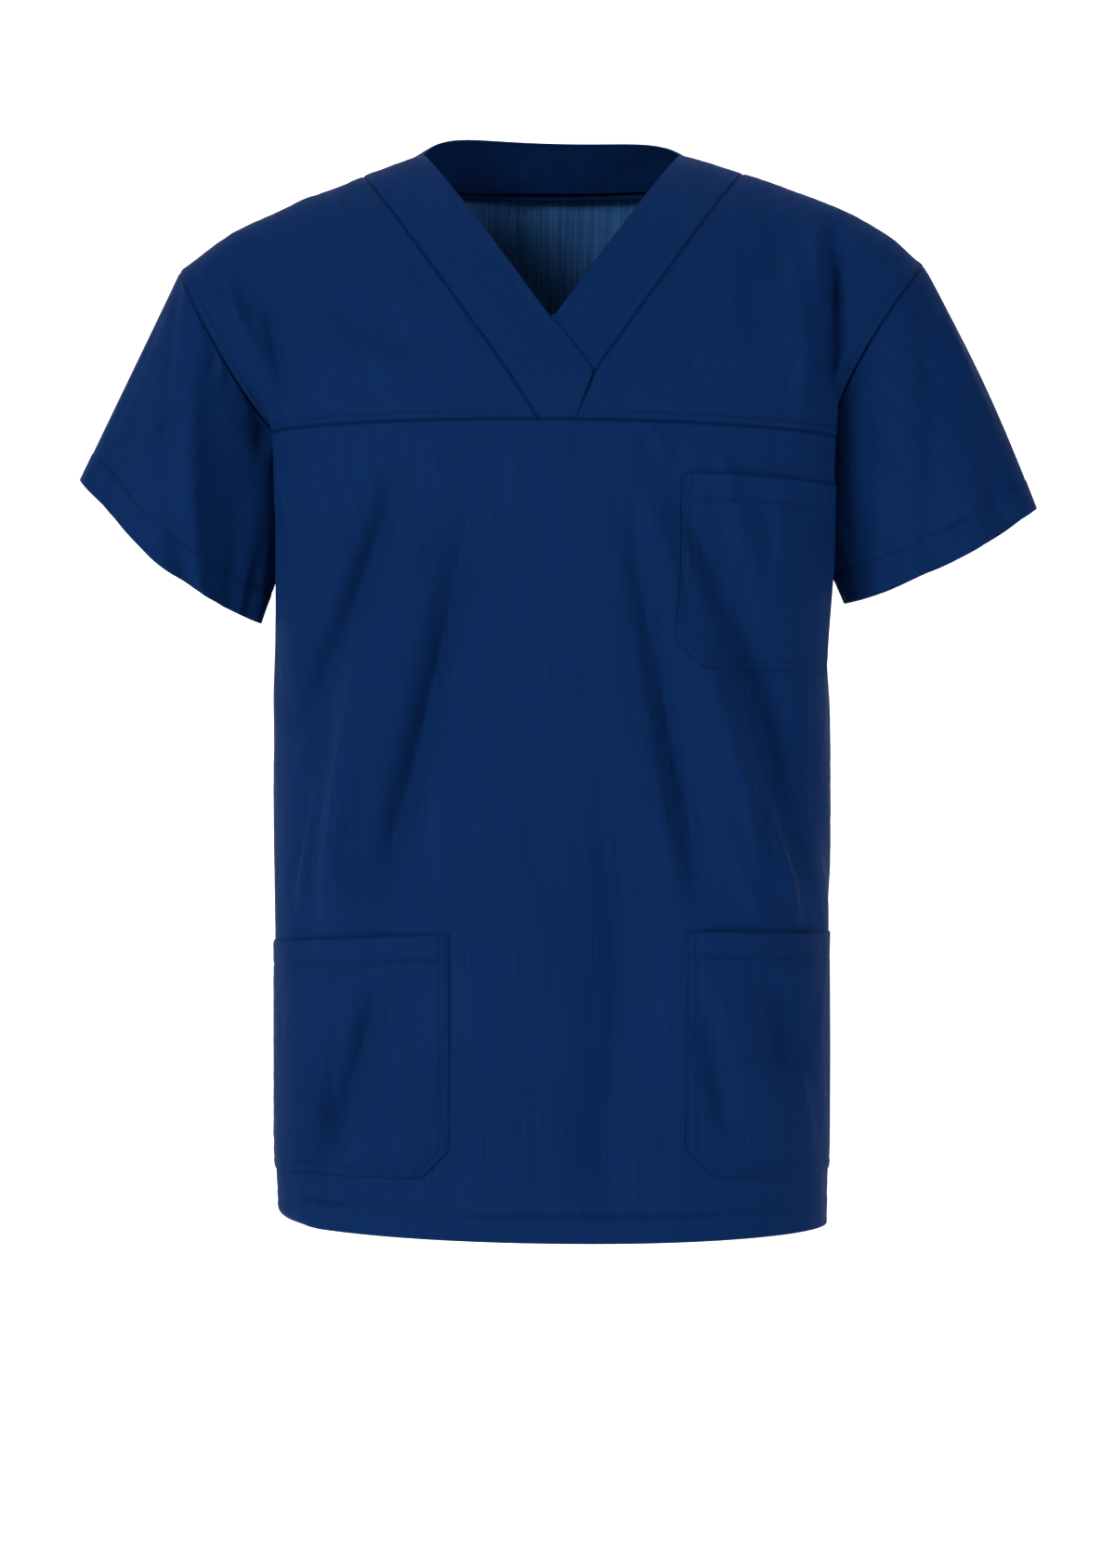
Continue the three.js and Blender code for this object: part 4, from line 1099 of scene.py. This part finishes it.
@dataclass
class Stitching:
    """Rows of stitches, joined into one mesh."""

    name: str
    slot: str
    finish: bpy.types.Material
    length: float = 2.5
    gap: float = 0.7
    width: float = 0.36
    places: list[tuple[Array, Array, Array]] = field(default_factory=list)

    def row(
        self, points: Array, normals: Array, start: float = 1.0, end: float = 1.0, closed: bool = False
    ) -> None:
        """Lay stitches along a line.

        Args:
            points: the line, mm.
            normals: outward directions along it.
            start: distance left bare at its start.
            end: distance left bare at its end.
            closed: whether the line comes back to its start.
        """
        steps = np.linalg.norm(np.diff(points, axis=0), axis=-1)
        run = np.concatenate([[0.0], np.cumsum(steps)])
        if closed:
            start = end = 0.0
        whole = run[-1] - start - end
        count = int(whole / (self.length + self.gap))
        if count < 1:
            return
        at = start + (np.arange(count) + 0.5) * whole / count
        half = self.length / 2
        head, tail = self.read(at - half, run, points), self.read(at + half, run, points)
        out = self.read(at, run, normals)
        out /= np.linalg.norm(out, axis=-1, keepdims=True)
        self.places.append((head, tail, out))

    @staticmethod
    def read(at: Array, run: Array, values: Array) -> Array:
        """Values in three columns, read at distances along a line.

        Args:
            at: the distances.
            run: how far along the line each value is.
            values: the values.

        Returns:
            The values at the distances.
        """
        return np.stack([np.interp(at, run, values[:, k]) for k in range(3)], -1)

    def bar(self, centre: Array, along: Array, out: Array, length: float, width: float) -> None:
        """A bar tack: close short stitches across a short line.

        Args:
            centre: its middle.
            along: the way it runs.
            out: the outward direction.
            length: how long it is, mm.
            width: how long each stitch across it is, mm.
        """
        along = along / np.linalg.norm(along)
        side = np.cross(out, along)
        for t in np.arange(-length / 2, length / 2, BAR_STEP):
            middle = centre + along * t
            first, last = middle - side * width / 2, middle + side * width / 2
            self.places.append((first[None], last[None], out[None]))

    def build(self) -> bpy.types.Object:
        """Model one stitch, copy it to every place and join the copies."""
        deselect()
        bpy.ops.mesh.primitive_uv_sphere_add(segments=6, ring_count=4, radius=1.0)
        model = bpy.context.object
        local = np.array([v.co[:] for v in model.data.vertices])
        faces = [list(f.vertices) for f in model.data.polygons]
        bpy.data.objects.remove(model)
        head = np.concatenate([p[0] for p in self.places])
        tail = np.concatenate([p[1] for p in self.places])
        out = np.concatenate([p[2] for p in self.places])
        along = (tail - head) / 2
        size = np.linalg.norm(along, axis=-1, keepdims=True)
        side = np.cross(out, along / np.maximum(size, 1e-9)) * self.width / 2
        centre = (head + tail) / 2 + out * 0.04
        long_way = along[:, None] * local[None, :, 2:3]
        verts = centre[:, None] + long_way + side[:, None] * local[None, :, 0:1]
        verts = verts + (out * self.width * 0.46)[:, None] * local[None, :, 1:2]
        count = len(local)
        all_faces = [[i + k * count for i in face] for k in range(len(centre)) for face in faces]
        mesh = bpy.data.meshes.new(self.name)
        mesh.from_pydata((verts.reshape(-1, 3) * MM).tolist(), [], all_faces)
        mesh.update()
        obj = bpy.data.objects.new(self.name, mesh)
        bpy.context.collection.objects.link(obj)
        bpy.context.view_layer.objects.active = obj
        obj.select_set(True)
        bpy.ops.object.mode_set(mode="EDIT")
        bpy.ops.mesh.select_all(action="SELECT")
        bpy.ops.mesh.normals_make_consistent(inside=False)
        bpy.ops.object.mode_set(mode="OBJECT")
        bpy.ops.object.shade_smooth()
        obj.data.materials.append(self.finish)
        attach(obj, "root")
        LOG.info("%s: %d stitches", self.name, len(centre))
        return obj


@dataclass(frozen=True)
class PocketCut:
    """Where a patch pocket is sewn on the front, as distances out and drops, in millimetres."""

    node: str
    hand: int
    inner: float
    cut: float
    top: float
    corner: float
    bottom: float
    outer: float
    width: float
    ease: float = 2.2
    mouth_hem: float = 17.0


POCKETS = (
    PocketCut("chest_pocket", 1, 88, 108, 228, 343, 361, 0.845, 125),
    PocketCut("lower_pocket_left", 1, 88, 108, 539, 686, 706, 1.0, 175),
    PocketCut("lower_pocket_right", -1, 76, 95, 539, 686, 706, 1.0, 195),
)


class BodyPanels:
    """The front and back panels, the yokes and their seams."""

    def __init__(self, form: GarmentForm) -> None:
        """Lay out the columns and rows that the pieces share."""
        self.form = form
        dense = np.linspace(-1, 1, 1201)
        line = form.plain_point(Side.FRONT, dense, np.full_like(dense, 400.0), np.zeros_like(dense))
        run = np.concatenate([[0], np.cumsum(np.linalg.norm(np.diff(line, axis=0), axis=-1))])
        self.columns = np.interp(graded(run[-1]), run, dense)
        self.back_columns = np.interp(graded(run[-1], pitch=BACK_PITCH), run, dense)
        self.level_rows = YOKE_DROP + graded(HEM_DROP - YOKE_DROP)
        self.turn_rows = 1 - graded(250.0) / 250.0

    def grid(self, side: Side, across: Array, drop: Array, turn: Array) -> Array:
        """Points of the body for rows and columns."""
        return self.form.body_point(side, across, drop[:, None], turn[:, None])

    def front(self) -> Patch:
        """The front below the yoke seam."""
        rows = self.level_rows
        points = self.grid(Side.FRONT, self.columns[None, :], rows, np.zeros_like(rows))
        return Patch(points, 1)

    def back(self) -> Patch:
        """The back, one piece from the neck to the hem."""
        columns = self.back_columns.copy()
        for place in (-self.form.band_across, self.form.band_across):
            columns[np.argmin(np.abs(columns - place))] = place
        turn = np.concatenate([self.turn_rows, np.zeros(len(self.level_rows) - 1)])
        drop = np.concatenate([np.full(len(self.turn_rows), YOKE_DROP), self.level_rows[1:]])
        return Patch(self.grid(Side.BACK, columns[None, :], drop, turn), -1)

    def yoke(self, hand: int) -> Patch:
        """One front yoke, from the neck band's seam to the armhole.

        Args:
            hand: -1 for the wearer's right, 1 for the left.

        Returns:
            The yoke.
        """
        line = SEAM_RIGHT if hand < 0 else SEAM_LEFT
        turn = self.turn_rows
        seam = self.form.crossing(turn, hand, line)
        shares = graded(200.0) / 200.0
        across = lerp(seam[:, None], float(hand), shares[None, :])
        across[:, -1] = hand
        points = self.grid(Side.FRONT, across, np.full_like(turn, YOKE_DROP), turn)
        if hand < 0:
            return Patch(points[:, ::-1], 1)
        return Patch(points, 1)


class NeckBands:
    """The three bands round the neck."""

    def __init__(self, form: GarmentForm, turn_rows: Array) -> None:
        """Share the yokes' rows."""
        self.form = form
        self.turn_rows = turn_rows
        self.shares = graded(44.0) / 44.0

    def between(self, turn: Array, first: Array, last: Array) -> Patch:
        """A front band between two outlines.

        Args:
            turn: its rows.
            first: where each row starts across the front.
            last: where it ends.

        Returns:
            The band.
        """
        across = lerp(first[:, None], last[:, None], self.shares[None, :])
        drop = np.full((len(turn), 1), YOKE_DROP)
        return Patch(self.form.body_point(Side.FRONT, across, drop, turn[:, None]), 1)

    def upper(self) -> Patch:
        """The band on top at the V, from the wearer's right shoulder to the yoke seam."""
        turn = self.turn_rows
        first = self.form.crossing(turn, -1, SEAM_RIGHT)
        last = self.form.lap_crossing(turn)
        return self.between(turn, first, last)

    def under(self) -> Patch:
        """The band below it, carried on a little under the lap."""
        turn = self.turn_rows[self.turn_rows >= self.form.lap_turn - 1e-9]
        turn = np.append(turn[turn > self.form.lap_turn + 0.003], self.form.lap_turn)
        first = self.form.under_crossing(turn)
        first = first - np.where(turn < self.form.v_turn + 0.01, 0.02, 0.0)
        last = self.form.crossing(turn, 1, SEAM_LEFT)
        return self.between(turn, first, last)

    def back(self) -> Patch:
        """The band that stands up round the back of the neck."""
        form = self.form
        angle = np.linspace(-1, 1, BAND_COLUMNS)
        out = np.sin(angle * QUARTER)
        across = np.sign(out) * self.form.solve(
            lambda a: form.ridge_out(a) - np.abs(out) * BAND_OUT, np.zeros_like(out), 1.0
        )
        across[0], across[-1] = -form.band_across, form.band_across
        seam = form.back_top(across)
        out = np.clip(seam[:, 0] / BAND_OUT, -1, 1)
        arc = np.sqrt(1 - out * out)
        rise = (BACK_NECK["edge_rise"] + BACK_NECK["lean"] * out) * (1 - out**6) ** 0.6
        edge = np.stack([NECK_OUT * out, RIDGE_Y + BACK_NECK["edge_depth"] * arc, rise], -1)
        ends = form.ridge_point(np.array([-form.neck_across, form.neck_across]))
        edge[0], edge[-1] = ends[0], ends[1]
        share = self.shares[:, None, None]
        points = lerp(seam[None], edge[None], share)
        bulge = np.sin(np.pi * self.shares)[:, None] * 2.0 * arc[None]
        points[..., 1] += bulge
        return Patch(points, 1)


@dataclass(frozen=True)
class SleeveCut:
    """One sleeve's cuff and fullness, and the folds that run down it."""

    node: str
    hand: int
    tip: tuple[float, float, float]
    heel: tuple[float, float, float]
    front: float
    back: float
    droop: float
    crown: float
    bow: float
    folds: tuple[tuple[float, ...], ...]
    creases: tuple[tuple[float, ...], ...]


# Sleeve folds: where round the sleeve they start and end, how far down, how wide and how deep.
SLEEVES = (
    SleeveCut(
        "sleeve_right", -1, (-330, 2, -227), (-204, 8, -327), 52, 54, 13, 8, 0,
        (
            (0.1, 0.13, -0.1, 1.1, 0.045, -5), (0.2, 0.25, 0.05, 1.1, 0.035, 7),
            (0.3, 0.36, 0.1, 1.1, 0.05, -9), (0.72, 0.7, 0, 1.1, 0.05, -7),
            (0.87, 0.85, 0, 1.1, 0.05, 4),
        ),
        (
            (0.06, 0.07, 0.1, 0.9, 0.014, -1.3), (0.15, 0.18, 0.1, 1.1, 0.012, 1.4),
            (0.085, 0.285, -0.3, 1.8, 0.026, -5.0), (0.185, 0.313, -0.3, 1.8, 0.02, 5.0),
            (0.27, 0.39, 0.1, 1.8, 0.018, -3.0), (0.385, 0.425, 0.35, 1.5, 0.013, -3.0),
            (0.41, 0.455, 0.35, 1.5, 0.013, 3.2), (0.445, 0.475, 0.5, 1.4, 0.01, -1.8),
            (0.232, 0.236, -0.12, 0.16, 0.007, -2.2), (0.247, 0.252, -0.12, 0.13, 0.006, 1.7),
            (0.262, 0.27, -0.12, 0.18, 0.007, -1.6), (0.3, 0.305, -0.1, 0.12, 0.006, 1.2),
            (0.328, 0.335, -0.12, 0.2, 0.008, -2.6), (0.346, 0.352, -0.12, 0.16, 0.007, 2.2),
            (0.363, 0.375, -0.12, 0.22, 0.008, -2.0),
            (0.66, 0.64, 0.2, 1.1, 0.014, 1.4), (0.78, 0.77, 0.0, 1.0, 0.013, -1.3),
            (0.93, 0.92, 0.2, 1.1, 0.014, -1.1),
            (0.65, 0.644, -0.12, 0.2, 0.008, -2.0), (0.668, 0.664, -0.12, 0.16, 0.007, 1.8),
            (0.74, 0.742, -0.12, 0.14, 0.007, -1.6),
        ),
    ),
    SleeveCut(
        "sleeve_left", 1, (339, 2, -247), (205, 8, -313), 52, 54, 8, 8, 4,
        (
            (0.12, 0.14, 0, 1.1, 0.04, -5), (0.24, 0.27, 0.1, 1.1, 0.05, 5),
            (0.7, 0.72, 0, 1.1, 0.05, -7), (0.84, 0.86, 0, 1.1, 0.05, 4),
        ),
        (
            (0.07, 0.08, 0.1, 0.8, 0.013, 1.2), (0.03, 0.2, -0.2, 1.8, 0.026, 3.0),
            (0.105, 0.288, -0.3, 1.8, 0.028, -5.5), (0.217, 0.372, -0.3, 1.8, 0.022, 4.0),
            (0.275, 0.29, 0.2, 1.1, 0.012, -1.2), (0.38, 0.4, 0.1, 1.5, 0.014, -2.2),
            (0.43, 0.44, 0.2, 1.0, 0.012, -1.5),
            (0.25, 0.255, -0.12, 0.15, 0.007, -1.4), (0.34, 0.346, -0.12, 0.2, 0.008, -1.8),
            (0.36, 0.366, -0.12, 0.16, 0.007, 1.5), (0.655, 0.65, -0.12, 0.18, 0.008, -1.7),
            (0.64, 0.66, 0.1, 1.1, 0.014, 1.3), (0.77, 0.79, 0.0, 1.1, 0.013, -1.2),
            (0.92, 0.93, 0.2, 1.1, 0.013, -1.1),
        ),
    ),
)


class Sleeve:
    """One sleeve as a tube from the armhole to the cuff."""

    # Drops of the armhole's last rows, from below the yoke to the underarm, as in the solids.
    DROPS_BELOW = (211.0, 228.0, 245.0, 262.0)

    def __init__(self, form: GarmentForm, cut: SleeveCut) -> None:
        """Keep the cut and the armhole's row places."""
        self.form = form
        self.cut = cut
        turns = [1 + (form.v_turn - 1) * i / 7 for i in range(8)] + [form.lap_turn, 0.0]
        self.turns = np.array(turns + [0.0] * 4)
        self.drops = np.array([YOKE_DROP] * 10 + list(self.DROPS_BELOW))

    def armhole(self, turn: Array) -> Array:
        """Points of the armhole seam.

        Args:
            turn: places round it from 0 to 1, starting at the shoulder and going down the front first.

        Returns:
            The points, in millimetres.
        """
        step = np.where(turn <= 0.5, turn, 1 - turn) * SLEEVE_STEPS
        index = np.arange(len(self.turns))
        rise, drop = np.interp(step, index, self.turns), np.interp(step, index, self.drops)
        across = np.full_like(step, float(self.cut.hand))
        front = self.form.body_point(Side.FRONT, across, drop, rise, creased=False)
        back = self.form.body_point(Side.BACK, across, drop, rise, creased=False)
        return np.where((turn <= 0.5)[:, None], front, back)

    def patch(self) -> Patch:
        """The sleeve's grid of points, folds and creases included."""
        cut = self.cut
        turn = np.linspace(0, 1, SLEEVE_COLUMNS)
        down = graded(200.0, keep=(200.0 - CUFF_DEPTH,)) / 200.0
        start = self.armhole(turn)
        angle = 2 * np.pi * turn
        side = np.where(turn < 0.5, -1.0, 1.0)
        bulge = np.abs(np.sin(angle))
        outer, inner = np.array(cut.tip, float), np.array(cut.heel, float)
        cuff = lerp(outer, inner, ((1 - np.cos(angle)) / 2)[:, None])
        cuff[:, 1] += side * np.where(side < 0, cut.front, cut.back) * bulge
        cuff[:, 2] -= cut.droop * bulge * bulge
        points = lerp(start[None], cuff[None], down[:, None, None])
        arch = np.sin(np.pi * down)[:, None]
        points[..., 1] += side * cut.crown * bulge * arch
        points[..., 0] += cut.hand * cut.bow * np.maximum(0, np.cos(angle)) * arch
        flat = Patch(points, -cut.hand, closed=True)
        depth = np.zeros(points.shape[:2])
        starts = (("fold", SLEEVE_FOLD_START, cut.folds), ("crease", SLEEVE_CREASE_START, cut.creases))
        for kind, start_at, rows in starts:
            for turn0, turn1, first, last, wide, deep in rows:
                t = (down[:, None] - first) / (last - first)
                off = (turn[None, :] - lerp(turn0, turn1, down[:, None])) / wide
                fade = ease(down, 0, start_at)[:, None]
                if kind == "crease":
                    fade = fade * (1 - ease(t, 0.6, 1.0))
                depth += deep * np.exp(-off * off) * ease(t, 0, 0.5) * fade
        moved = points + flat.normals * depth[..., None]
        moved[:, -1] = moved[:, 0]
        return Patch(moved, -cut.hand, closed=True)


class Pockets:
    """The patch pockets, laid on the front's own surface."""

    def __init__(self, form: GarmentForm) -> None:
        """Keep the form that the pockets lie on."""
        self.form = form

    def across_at(self, out: float, hand: int) -> float:
        """The place across the front that is a distance out at the yoke seam."""
        half = float(TORSO.columns["right" if hand < 0 else "left"][0])
        return hand * math.asin((out / half) ** (BODY_POWER / 2)) / QUARTER

    def patch(self, cut: PocketCut) -> tuple[Patch, Array]:
        """A pocket's grid on the front's surface, and how far it stands off.

        Args:
            cut: the pocket.

        Returns:
            The grid, and the height of each point over the front.
        """
        rows = cut.top + graded(cut.bottom - cut.top, keep=(cut.mouth_hem, cut.corner - cut.top))
        shares = graded(cut.width) / cut.width
        inner, clipped = self.across_at(cut.inner, cut.hand), self.across_at(cut.cut, cut.hand)
        bevel = np.clip((rows - cut.corner) / (cut.bottom - cut.corner), 0, 1)
        first = lerp(inner, clipped, bevel)
        across = lerp(first[:, None], cut.hand * cut.outer, shares[None, :])
        points = self.form.body_point(Side.FRONT, across, rows[:, None], np.zeros((len(rows), 1)))
        out = np.clip((cut.hand * points[..., 0] - cut.inner) / (190 - cut.inner), 0, 1)
        up = 1 - np.clip((-points[..., 2] - cut.top) / (cut.corner - cut.top), 0, 1)
        lift = 0.4 + BAND_SHELL * 0.8 + cut.ease * np.sin(np.pi * out) * up**3
        if cut.hand < 0:
            return Patch(points[:, ::-1], 1), lift[:, ::-1]
        return Patch(points, 1), lift


# Each light's place, size and power.
LIGHTS = {
    "key": ((-4.3, -4.4, 2.2), 2.2, 440.0),
    "side": ((4.6, -3.8, 0.6), 2.2, 180.0),
    "top": ((0.1, 0.5, 1.9), 1.0, 26.0),
}


@dataclass
class Studio:
    """A pale sweep, soft lights and the photo's camera, in metres."""

    floor_z: float = -1.12
    distance: float = 2.9
    aim: tuple[float, float] = (0.0039, -0.44)  # the camera's place across and its height
    lens: float = 95.15
    ambient: float = 0.16

    def sweep(self) -> None:
        """The floor and backdrop in one curved sheet."""
        deselect()
        bpy.ops.mesh.primitive_grid_add(x_subdivisions=2, y_subdivisions=64, size=2)
        obj = bpy.context.object
        obj.name = "backdrop"
        for v in obj.data.vertices:
            run = (v.co.y + 1) / 2 * 12.0
            straight, radius = 6.0, 1.6
            bend = min(max(run - straight, 0) / radius, QUARTER)
            y = min(run, straight) + radius * math.sin(bend)
            z = radius * (1 - math.cos(bend)) + max(0.0, run - straight - radius * QUARTER)
            v.co = (v.co.x * 7, y - 4.0, z + self.floor_z)
        bpy.ops.object.shade_smooth()
        mat = bpy.data.materials.new("backdrop_paper")
        mat.use_nodes = True
        shader = mat.node_tree.nodes["Principled BSDF"]
        shader.inputs["Base Color"].default_value = (0.92, 0.92, 0.92, 1)
        shader.inputs["Roughness"].default_value = 0.95
        shader.inputs["Emission Color"].default_value = (1, 1, 1, 1)
        shader.inputs["Emission Strength"].default_value = 0.55
        obj.data.materials.append(mat)

    def light(self, name: str, place: tuple[float, float, float], size: float, power: float) -> None:
        """One soft square light that faces the garment.

        Args:
            name: its name.
            place: where it stands.
            size: the length of its sides.
            power: its power in watts.
        """
        data = bpy.data.lights.new(name, "AREA")
        data.size = size
        data.energy = power
        obj = bpy.data.objects.new(name, data)
        bpy.context.collection.objects.link(obj)
        obj.location = place
        aim = Vector((0, 0, -0.4)) - obj.location
        obj.rotation_euler = aim.to_track_quat("-Z", "Y").to_euler()

    def build(self) -> None:
        """Set everything up."""
        self.sweep()
        for name, (place, size, power) in LIGHTS.items():
            self.light(name, place, size, power)
        world = bpy.context.scene.world or bpy.data.worlds.new("studio")
        bpy.context.scene.world = world
        world.use_nodes = True
        back = world.node_tree.nodes["Background"]
        back.inputs["Color"].default_value = (1, 1, 1, 1)
        back.inputs["Strength"].default_value = self.ambient
        camera = bpy.data.cameras.new("camera")
        camera.sensor_fit = "VERTICAL"
        camera.sensor_height = 36.0
        camera.lens = self.lens
        obj = bpy.data.objects.new("camera", camera)
        bpy.context.collection.objects.link(obj)
        obj.location = (self.aim[0], -self.distance, self.aim[1])
        obj.rotation_euler = (QUARTER, 0, 0)
        bpy.context.scene.camera = obj
        bpy.context.scene.view_settings.view_transform = "Standard"


NAVY = (0.0022, 0.0143, 0.0625)
# The cloth's inside, painted much paler than the outside as painted light, to stand in for light reaching the
# inside of the garment.
NAVY_INSIDE_PAINTED_LIGHT = (0.021, 0.078, 0.21)
NAVY_THREAD = NAVY


class ScrubTop:
    """The whole garment, piece by piece."""

    def __init__(self) -> None:
        """Build the form and the finishes."""
        self.form = GarmentForm()
        groups = FinishGroups()
        self.navy = PoplinFinish("navy_poplin", NAVY).material(groups)
        # The inside finish carries that painted light.
        inside = PoplinFinish("navy_poplin_inside_painted_light", NAVY_INSIDE_PAINTED_LIGHT, roughness=0.8, streaks=0.5)
        self.inside = inside.material(groups)
        self.thread = ThreadFinish("navy_thread", NAVY_THREAD).material(groups)

    def body(self) -> None:
        """The front and back panels, the yokes and their stitching."""
        panels = BodyPanels(self.form)
        self.turn_rows = panels.turn_rows
        plain, top = Seam.PLAIN, Seam.TOPSTITCHED
        seams = {"top": plain, "left": plain, "right": plain}
        front = ClothPiece("front_panel", panels.front(), self.navy, seams, hem=HEM_DEPTH, seed=1)
        back = ClothPiece("back_panel", panels.back(), self.navy, seams, hem=HEM_DEPTH, seed=2,
                          lining=self.inside)
        right = ClothPiece("front_yoke_right", panels.yoke(-1), self.navy,
                           {"top": plain, "bottom": top, "left": top, "right": plain}, seed=3)
        left = ClothPiece("front_yoke_left", panels.yoke(1), self.navy,
                          {"top": plain, "bottom": top, "left": plain, "right": top}, seed=4)
        pieces = [front, back, right, left]
        for piece in pieces:
            piece.build()
        body = Stitching("body_stitching", "front_panel", self.thread)
        body.row(*front.line("bottom", HEM_DEPTH))
        body.row(*back.line("bottom", HEM_DEPTH))
        yoke = Stitching("yoke_stitching", "front_yoke_right", self.thread)
        for piece, armhole in ((right, "left"), (left, "right")):
            yoke.row(*piece.line("bottom", EDGE_ROW))
            yoke.row(*piece.line("bottom", SECOND_ROW))
            yoke.row(*piece.line(armhole, ARMHOLE_ROW))
        made = {"front_panel": body.build(), "front_yoke_right": yoke.build()}
        for piece in pieces:
            stitches = made.get(piece.node)
            piece.declare([stitches] if stitches else [])
        LOG.info("body done")

    def neck(self) -> None:
        """The three neck bands."""
        bands = NeckBands(self.form, self.turn_rows)
        patch = bands.upper()
        turn = self.turn_rows
        lift = 1.25 * (1 - ease(turn, self.form.v_turn, 0.8)) * ease(turn, 0.0, 0.08) + 0.15
        plain, folded = Seam.PLAIN, Seam.FOLDED
        calm = ((0.35, 30, 80), (0.12, 10, 26))
        upper = ClothPiece("neck_band_right", patch, self.navy,
                           {"top": plain, "bottom": plain, "left": plain, "right": folded},
                           BAND_SHELL, lift[:, None], pucker=0.3, seed=5, ripples=calm)
        under = ClothPiece("neck_band_left", bands.under(), self.navy,
                           {"top": plain, "right": plain, "left": folded},
                           BAND_SHELL, pucker=0.3, seed=6, ripples=calm)
        back = ClothPiece("neck_band_back", bands.back(), self.navy,
                          {"top": plain, "left": plain, "right": plain, "bottom": folded},
                          BAND_SHELL, pucker=0.3, seed=7, ripples=calm)
        pieces = [upper, under, back]
        for piece in pieces:
            piece.build()
        stitches = Stitching("neck_stitching", "neck_band_right", self.thread)
        rows = ((upper, "left", "right"), (under, "right", "left"), (back, "top", "bottom"))
        for piece, sewn, free in rows:
            stitches.row(*piece.line(sewn, EDGE_ROW))
            stitches.row(*piece.line(free, BAND_ROW))
        made = stitches.build()
        for piece in pieces:
            piece.declare([made] if piece is upper else [])
        LOG.info("neck done")

    def sleeves(self) -> None:
        """Both sleeves and their cuffs' stitching."""
        for i, cut in enumerate(SLEEVES):
            patch = Sleeve(self.form, cut).patch()
            piece = ClothPiece(cut.node, patch, self.navy, {"top": Seam.PLAIN}, hem=CUFF_DEPTH, seed=8 + i,
                               lining=self.inside, allowance=((1.3, 1.0), (3.5, 2.6), (8.5, 5.0)))
            piece.build()
            rows = Stitching(cut.node + "_stitching", cut.node, self.thread)
            rows.row(*piece.line("bottom", CUFF_DEPTH), closed=True)
            rows.row(*piece.line("bottom", CUFF_ROW), closed=True)
            piece.declare([rows.build()])
        LOG.info("sleeves done")

    def pockets(self) -> None:
        """The three patch pockets with their stitching and bar tacks."""
        maker = Pockets(self.form)
        for i, cut in enumerate(POCKETS):
            patch, lift = maker.patch(cut)
            inner = "right" if cut.hand < 0 else "left"
            outer = "left" if cut.hand < 0 else "right"
            sewn = Seam.FOLDED if cut.outer < 1 else Seam.PLAIN
            edges = {"top": Seam.FOLDED, "bottom": Seam.FOLDED, inner: Seam.FOLDED, outer: sewn}
            piece = ClothPiece(cut.node, patch, self.navy, edges, BAND_SHELL, lift, pucker=0.3, seed=11 + i,
                               ripples=((0.3, 14, 40),),
                               sewn={"top": (cut.mouth_hem,), "bottom": POCKET_ROWS, inner: POCKET_ROWS})
            piece.build()
            rows = Stitching(cut.node + "_stitching", cut.node, self.thread)
            for inset in POCKET_ROWS:
                rows.row(*piece.line(inner, inset), start=inset)
                rows.row(*piece.line("bottom", inset), start=inset)
            rows.row(*piece.line("top", cut.mouth_hem))
            if cut.outer < 1:
                rows.row(*piece.line(outer, POCKET_ROWS[0]))
            line, out = piece.line(inner, BAR_INSET)
            run = np.cumsum(np.linalg.norm(np.diff(line, axis=0), axis=-1))
            for k in (int(np.argmin(np.abs(run - 5))), int(np.argmin(np.abs(run - cut.mouth_hem)))):
                rows.bar(line[k], line[k + 1] - line[k], out[k], *BAR_SIZE)
            piece.declare([rows.build()])
        LOG.info("pockets done")


def main() -> None:
    """Build the garment and the studio round it."""
    top = ScrubTop()
    top.body()
    top.neck()
    top.sleeves()
    top.pockets()
    Studio().build()
    deselect()


if __name__ == "__main__":
    main()
